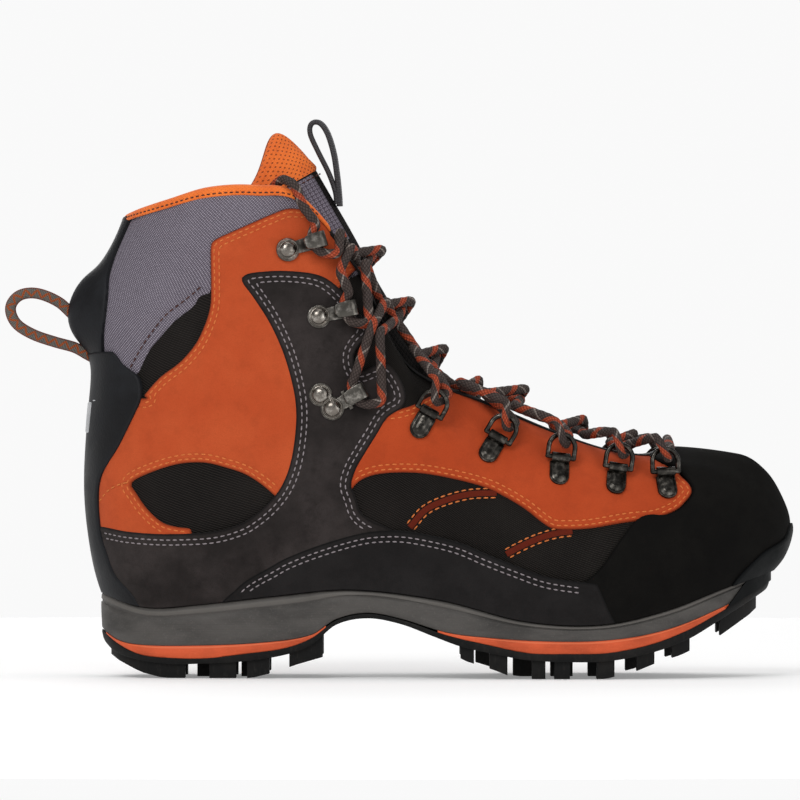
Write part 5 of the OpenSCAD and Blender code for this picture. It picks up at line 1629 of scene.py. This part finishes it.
def make_lace():
    """The braided lace, a little thinner inside the D-rings so that they can swing, and its tips."""
    route = np.array(half_lace(LATERAL)[::-1] + [[123, 0, 107.5]] + half_lace(MEDIAL))
    path = even_path(route, LACE_STEP, LACE_BLUR)
    sides = 18
    turn = 2 * np.pi * np.arange(sides) / sides
    points, faces = loft(tube(path, LACE_RADIUS, LACE_RADIUS, sides, [0, 0, 1]))
    cloth = tube_cloth(path, sides, np.cos(turn), np.sin(turn))
    phase = 2 * np.pi * (np.arange(len(path))[:, None] * LACE_STEP) / BRAID_PITCH
    relief = BRAID_RELIEF * np.cos(phase + 4 * turn) * np.cos(phase - 4 * turn)
    in_rings = np.array([stop for site in RINGS for side in (LATERAL, MEDIAL)
                         for stop in ring_pass(site, side)])
    gap = np.min(np.linalg.norm(path[:, None] - in_rings[None], axis=-1), axis=1)
    pinch = PINCH * np.exp(-(np.maximum(gap - PINCH_REACH, 0) / PINCH_FADE) ** 2)
    inset = LACE_SLIM + np.repeat(pinch, sides)[:, None] - relief.reshape(-1, 1)
    centre = np.repeat(path, sides, axis=0)
    points = centre + (points - centre) * (1 - inset / LACE_RADIUS)
    obj = mesh_object("braided_lace", points, faces, MATERIALS["lace"], 80, cloth)
    place_piece(obj, "boot", "lace_cord", "lace")
    tips = []
    for side in (LATERAL, MEDIAL):
        end = tucked_end(side)
        d = unit(end[-1] - end[-2])
        line = end[-1] + np.linspace(0.05, TIP_LENGTH, TIP_ROWS)[:, None] * d
        crimp = np.cos(np.linspace(0, 8 * np.pi, TIP_ROWS)) ** 8
        size = 0.7 * LACE_RADIUS * (1 - 0.06 * crimp)
        sections = tube(line, 1.0, 1.0, 16, [0, 1, 0])
        tips.append(loft(line[:, None] + (sections - line[:, None]) * size[:, None, None]))
    obj = mesh_object("crimped_tips", *merged(tips), MATERIALS["tip"])
    place_piece(obj, "boot", "lace_tip_film", "lace_tips")


def finish_rings():
    """The D-rings keep their turned CAD shape and take a plated finish."""
    for i in range(1, len(RINGS) + 1):
        for side in ("lateral", "medial"):
            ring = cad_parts[f"d_ring_{i}_{side}"]
            ring.data.materials.clear()
            ring.data.materials.append(MATERIALS["black_nickel"])
            ring.data.polygons.foreach_set("use_smooth", [True] * len(ring.data.polygons))
            ring.data.set_sharp_from_angle(angle=math.radians(50))


make_upper()
make_padding()
make_panels()
make_bindings()
pull_loop("heel_pull_tape", HEEL_LOOP, 2.5, 2.0, [0, 0, 1], "heel_loop", "heel_loop")
pull_loop("tongue_pull_tape", TONGUE_LOOP, 1.2, 5.0, [1, 0, 0], "tongue_loop",
          "tongue_loop")
make_tongue()
make_sole()
make_hardware()
make_lace()
finish_rings()


WORLD_AT_EYE, WORLD_ABOVE = 0.95, 0.3
KEY_WATTS, FILL_WATTS, TOP_WATTS, BACK_WATTS = 17, 5, 7, 8


def make_stage():
    bm = bmesh.new()
    bmesh.ops.create_circle(bm, cap_ends=True, radius=1.1, segments=96)
    mesh = bpy.data.meshes.new("floor")
    bm.to_mesh(mesh)
    bm.free()
    floor = bpy.data.objects.new("floor", mesh)
    floor.location.z = -0.0002
    s = Shader("floor", roughness=0.9, Emission_Color=(1, 1, 1, 1), Emission_Strength=0.24,
               Specular_IOR_Level=0.1)
    s.colour(s.mix(s.noise(6, 2), (0.84, 0.84, 0.84, 1), (0.88, 0.88, 0.88, 1)))
    mesh.materials.append(s.material)
    bpy.context.scene.collection.objects.link(floor)


def area_light(name, place, target, size, watts):
    data = bpy.data.lights.new(name, "AREA")
    data.size = size
    data.energy = watts
    light = bpy.data.objects.new(name, data)
    light.location = place
    aim = Vector(target) - Vector(place)
    light.rotation_euler = aim.to_track_quat("-Z", "Y").to_euler()
    bpy.context.scene.collection.objects.link(light)


def make_world():
    """Pale all round at eye level and dimmer above and below, as in a studio tent."""
    world = bpy.data.worlds.new("studio")
    world.use_nodes = True
    tree = world.node_tree
    place = tree.nodes.new("ShaderNodeTexCoord")
    split = tree.nodes.new("ShaderNodeSeparateXYZ")
    height = tree.nodes.new("ShaderNodeMath")
    height.operation = "ABSOLUTE"
    level = tree.nodes.new("ShaderNodeMapRange")
    tree.links.new(place.outputs["Generated"], split.inputs[0])
    tree.links.new(split.outputs[2], height.inputs[0])
    tree.links.new(height.outputs[0], level.inputs[0])
    for index, number in enumerate((0.08, 0.3, WORLD_AT_EYE, WORLD_ABOVE)):
        level.inputs[index + 1].default_value = number
    background = tree.nodes["Background"]
    background.inputs[0].default_value = (1, 1, 1, 1)
    tree.links.new(level.outputs[0], background.inputs[1])
    bpy.context.scene.world = world


def make_lights():
    centre = (0, 0, 0.12)
    area_light("key", (-0.6, -1.5, 1.4), centre, 0.9, KEY_WATTS)
    area_light("fill", (1.3, -1.3, 0.6), centre, 1.2, FILL_WATTS)
    area_light("top", (0.1, 0.1, 1.7), centre, 1.0, TOP_WATTS)
    area_light("back", (-0.3, 1.5, 0.9), centre, 1.2, BACK_WATTS)
    bpy.context.scene.view_settings.view_transform = "Standard"


make_stage()
make_world()
make_lights()
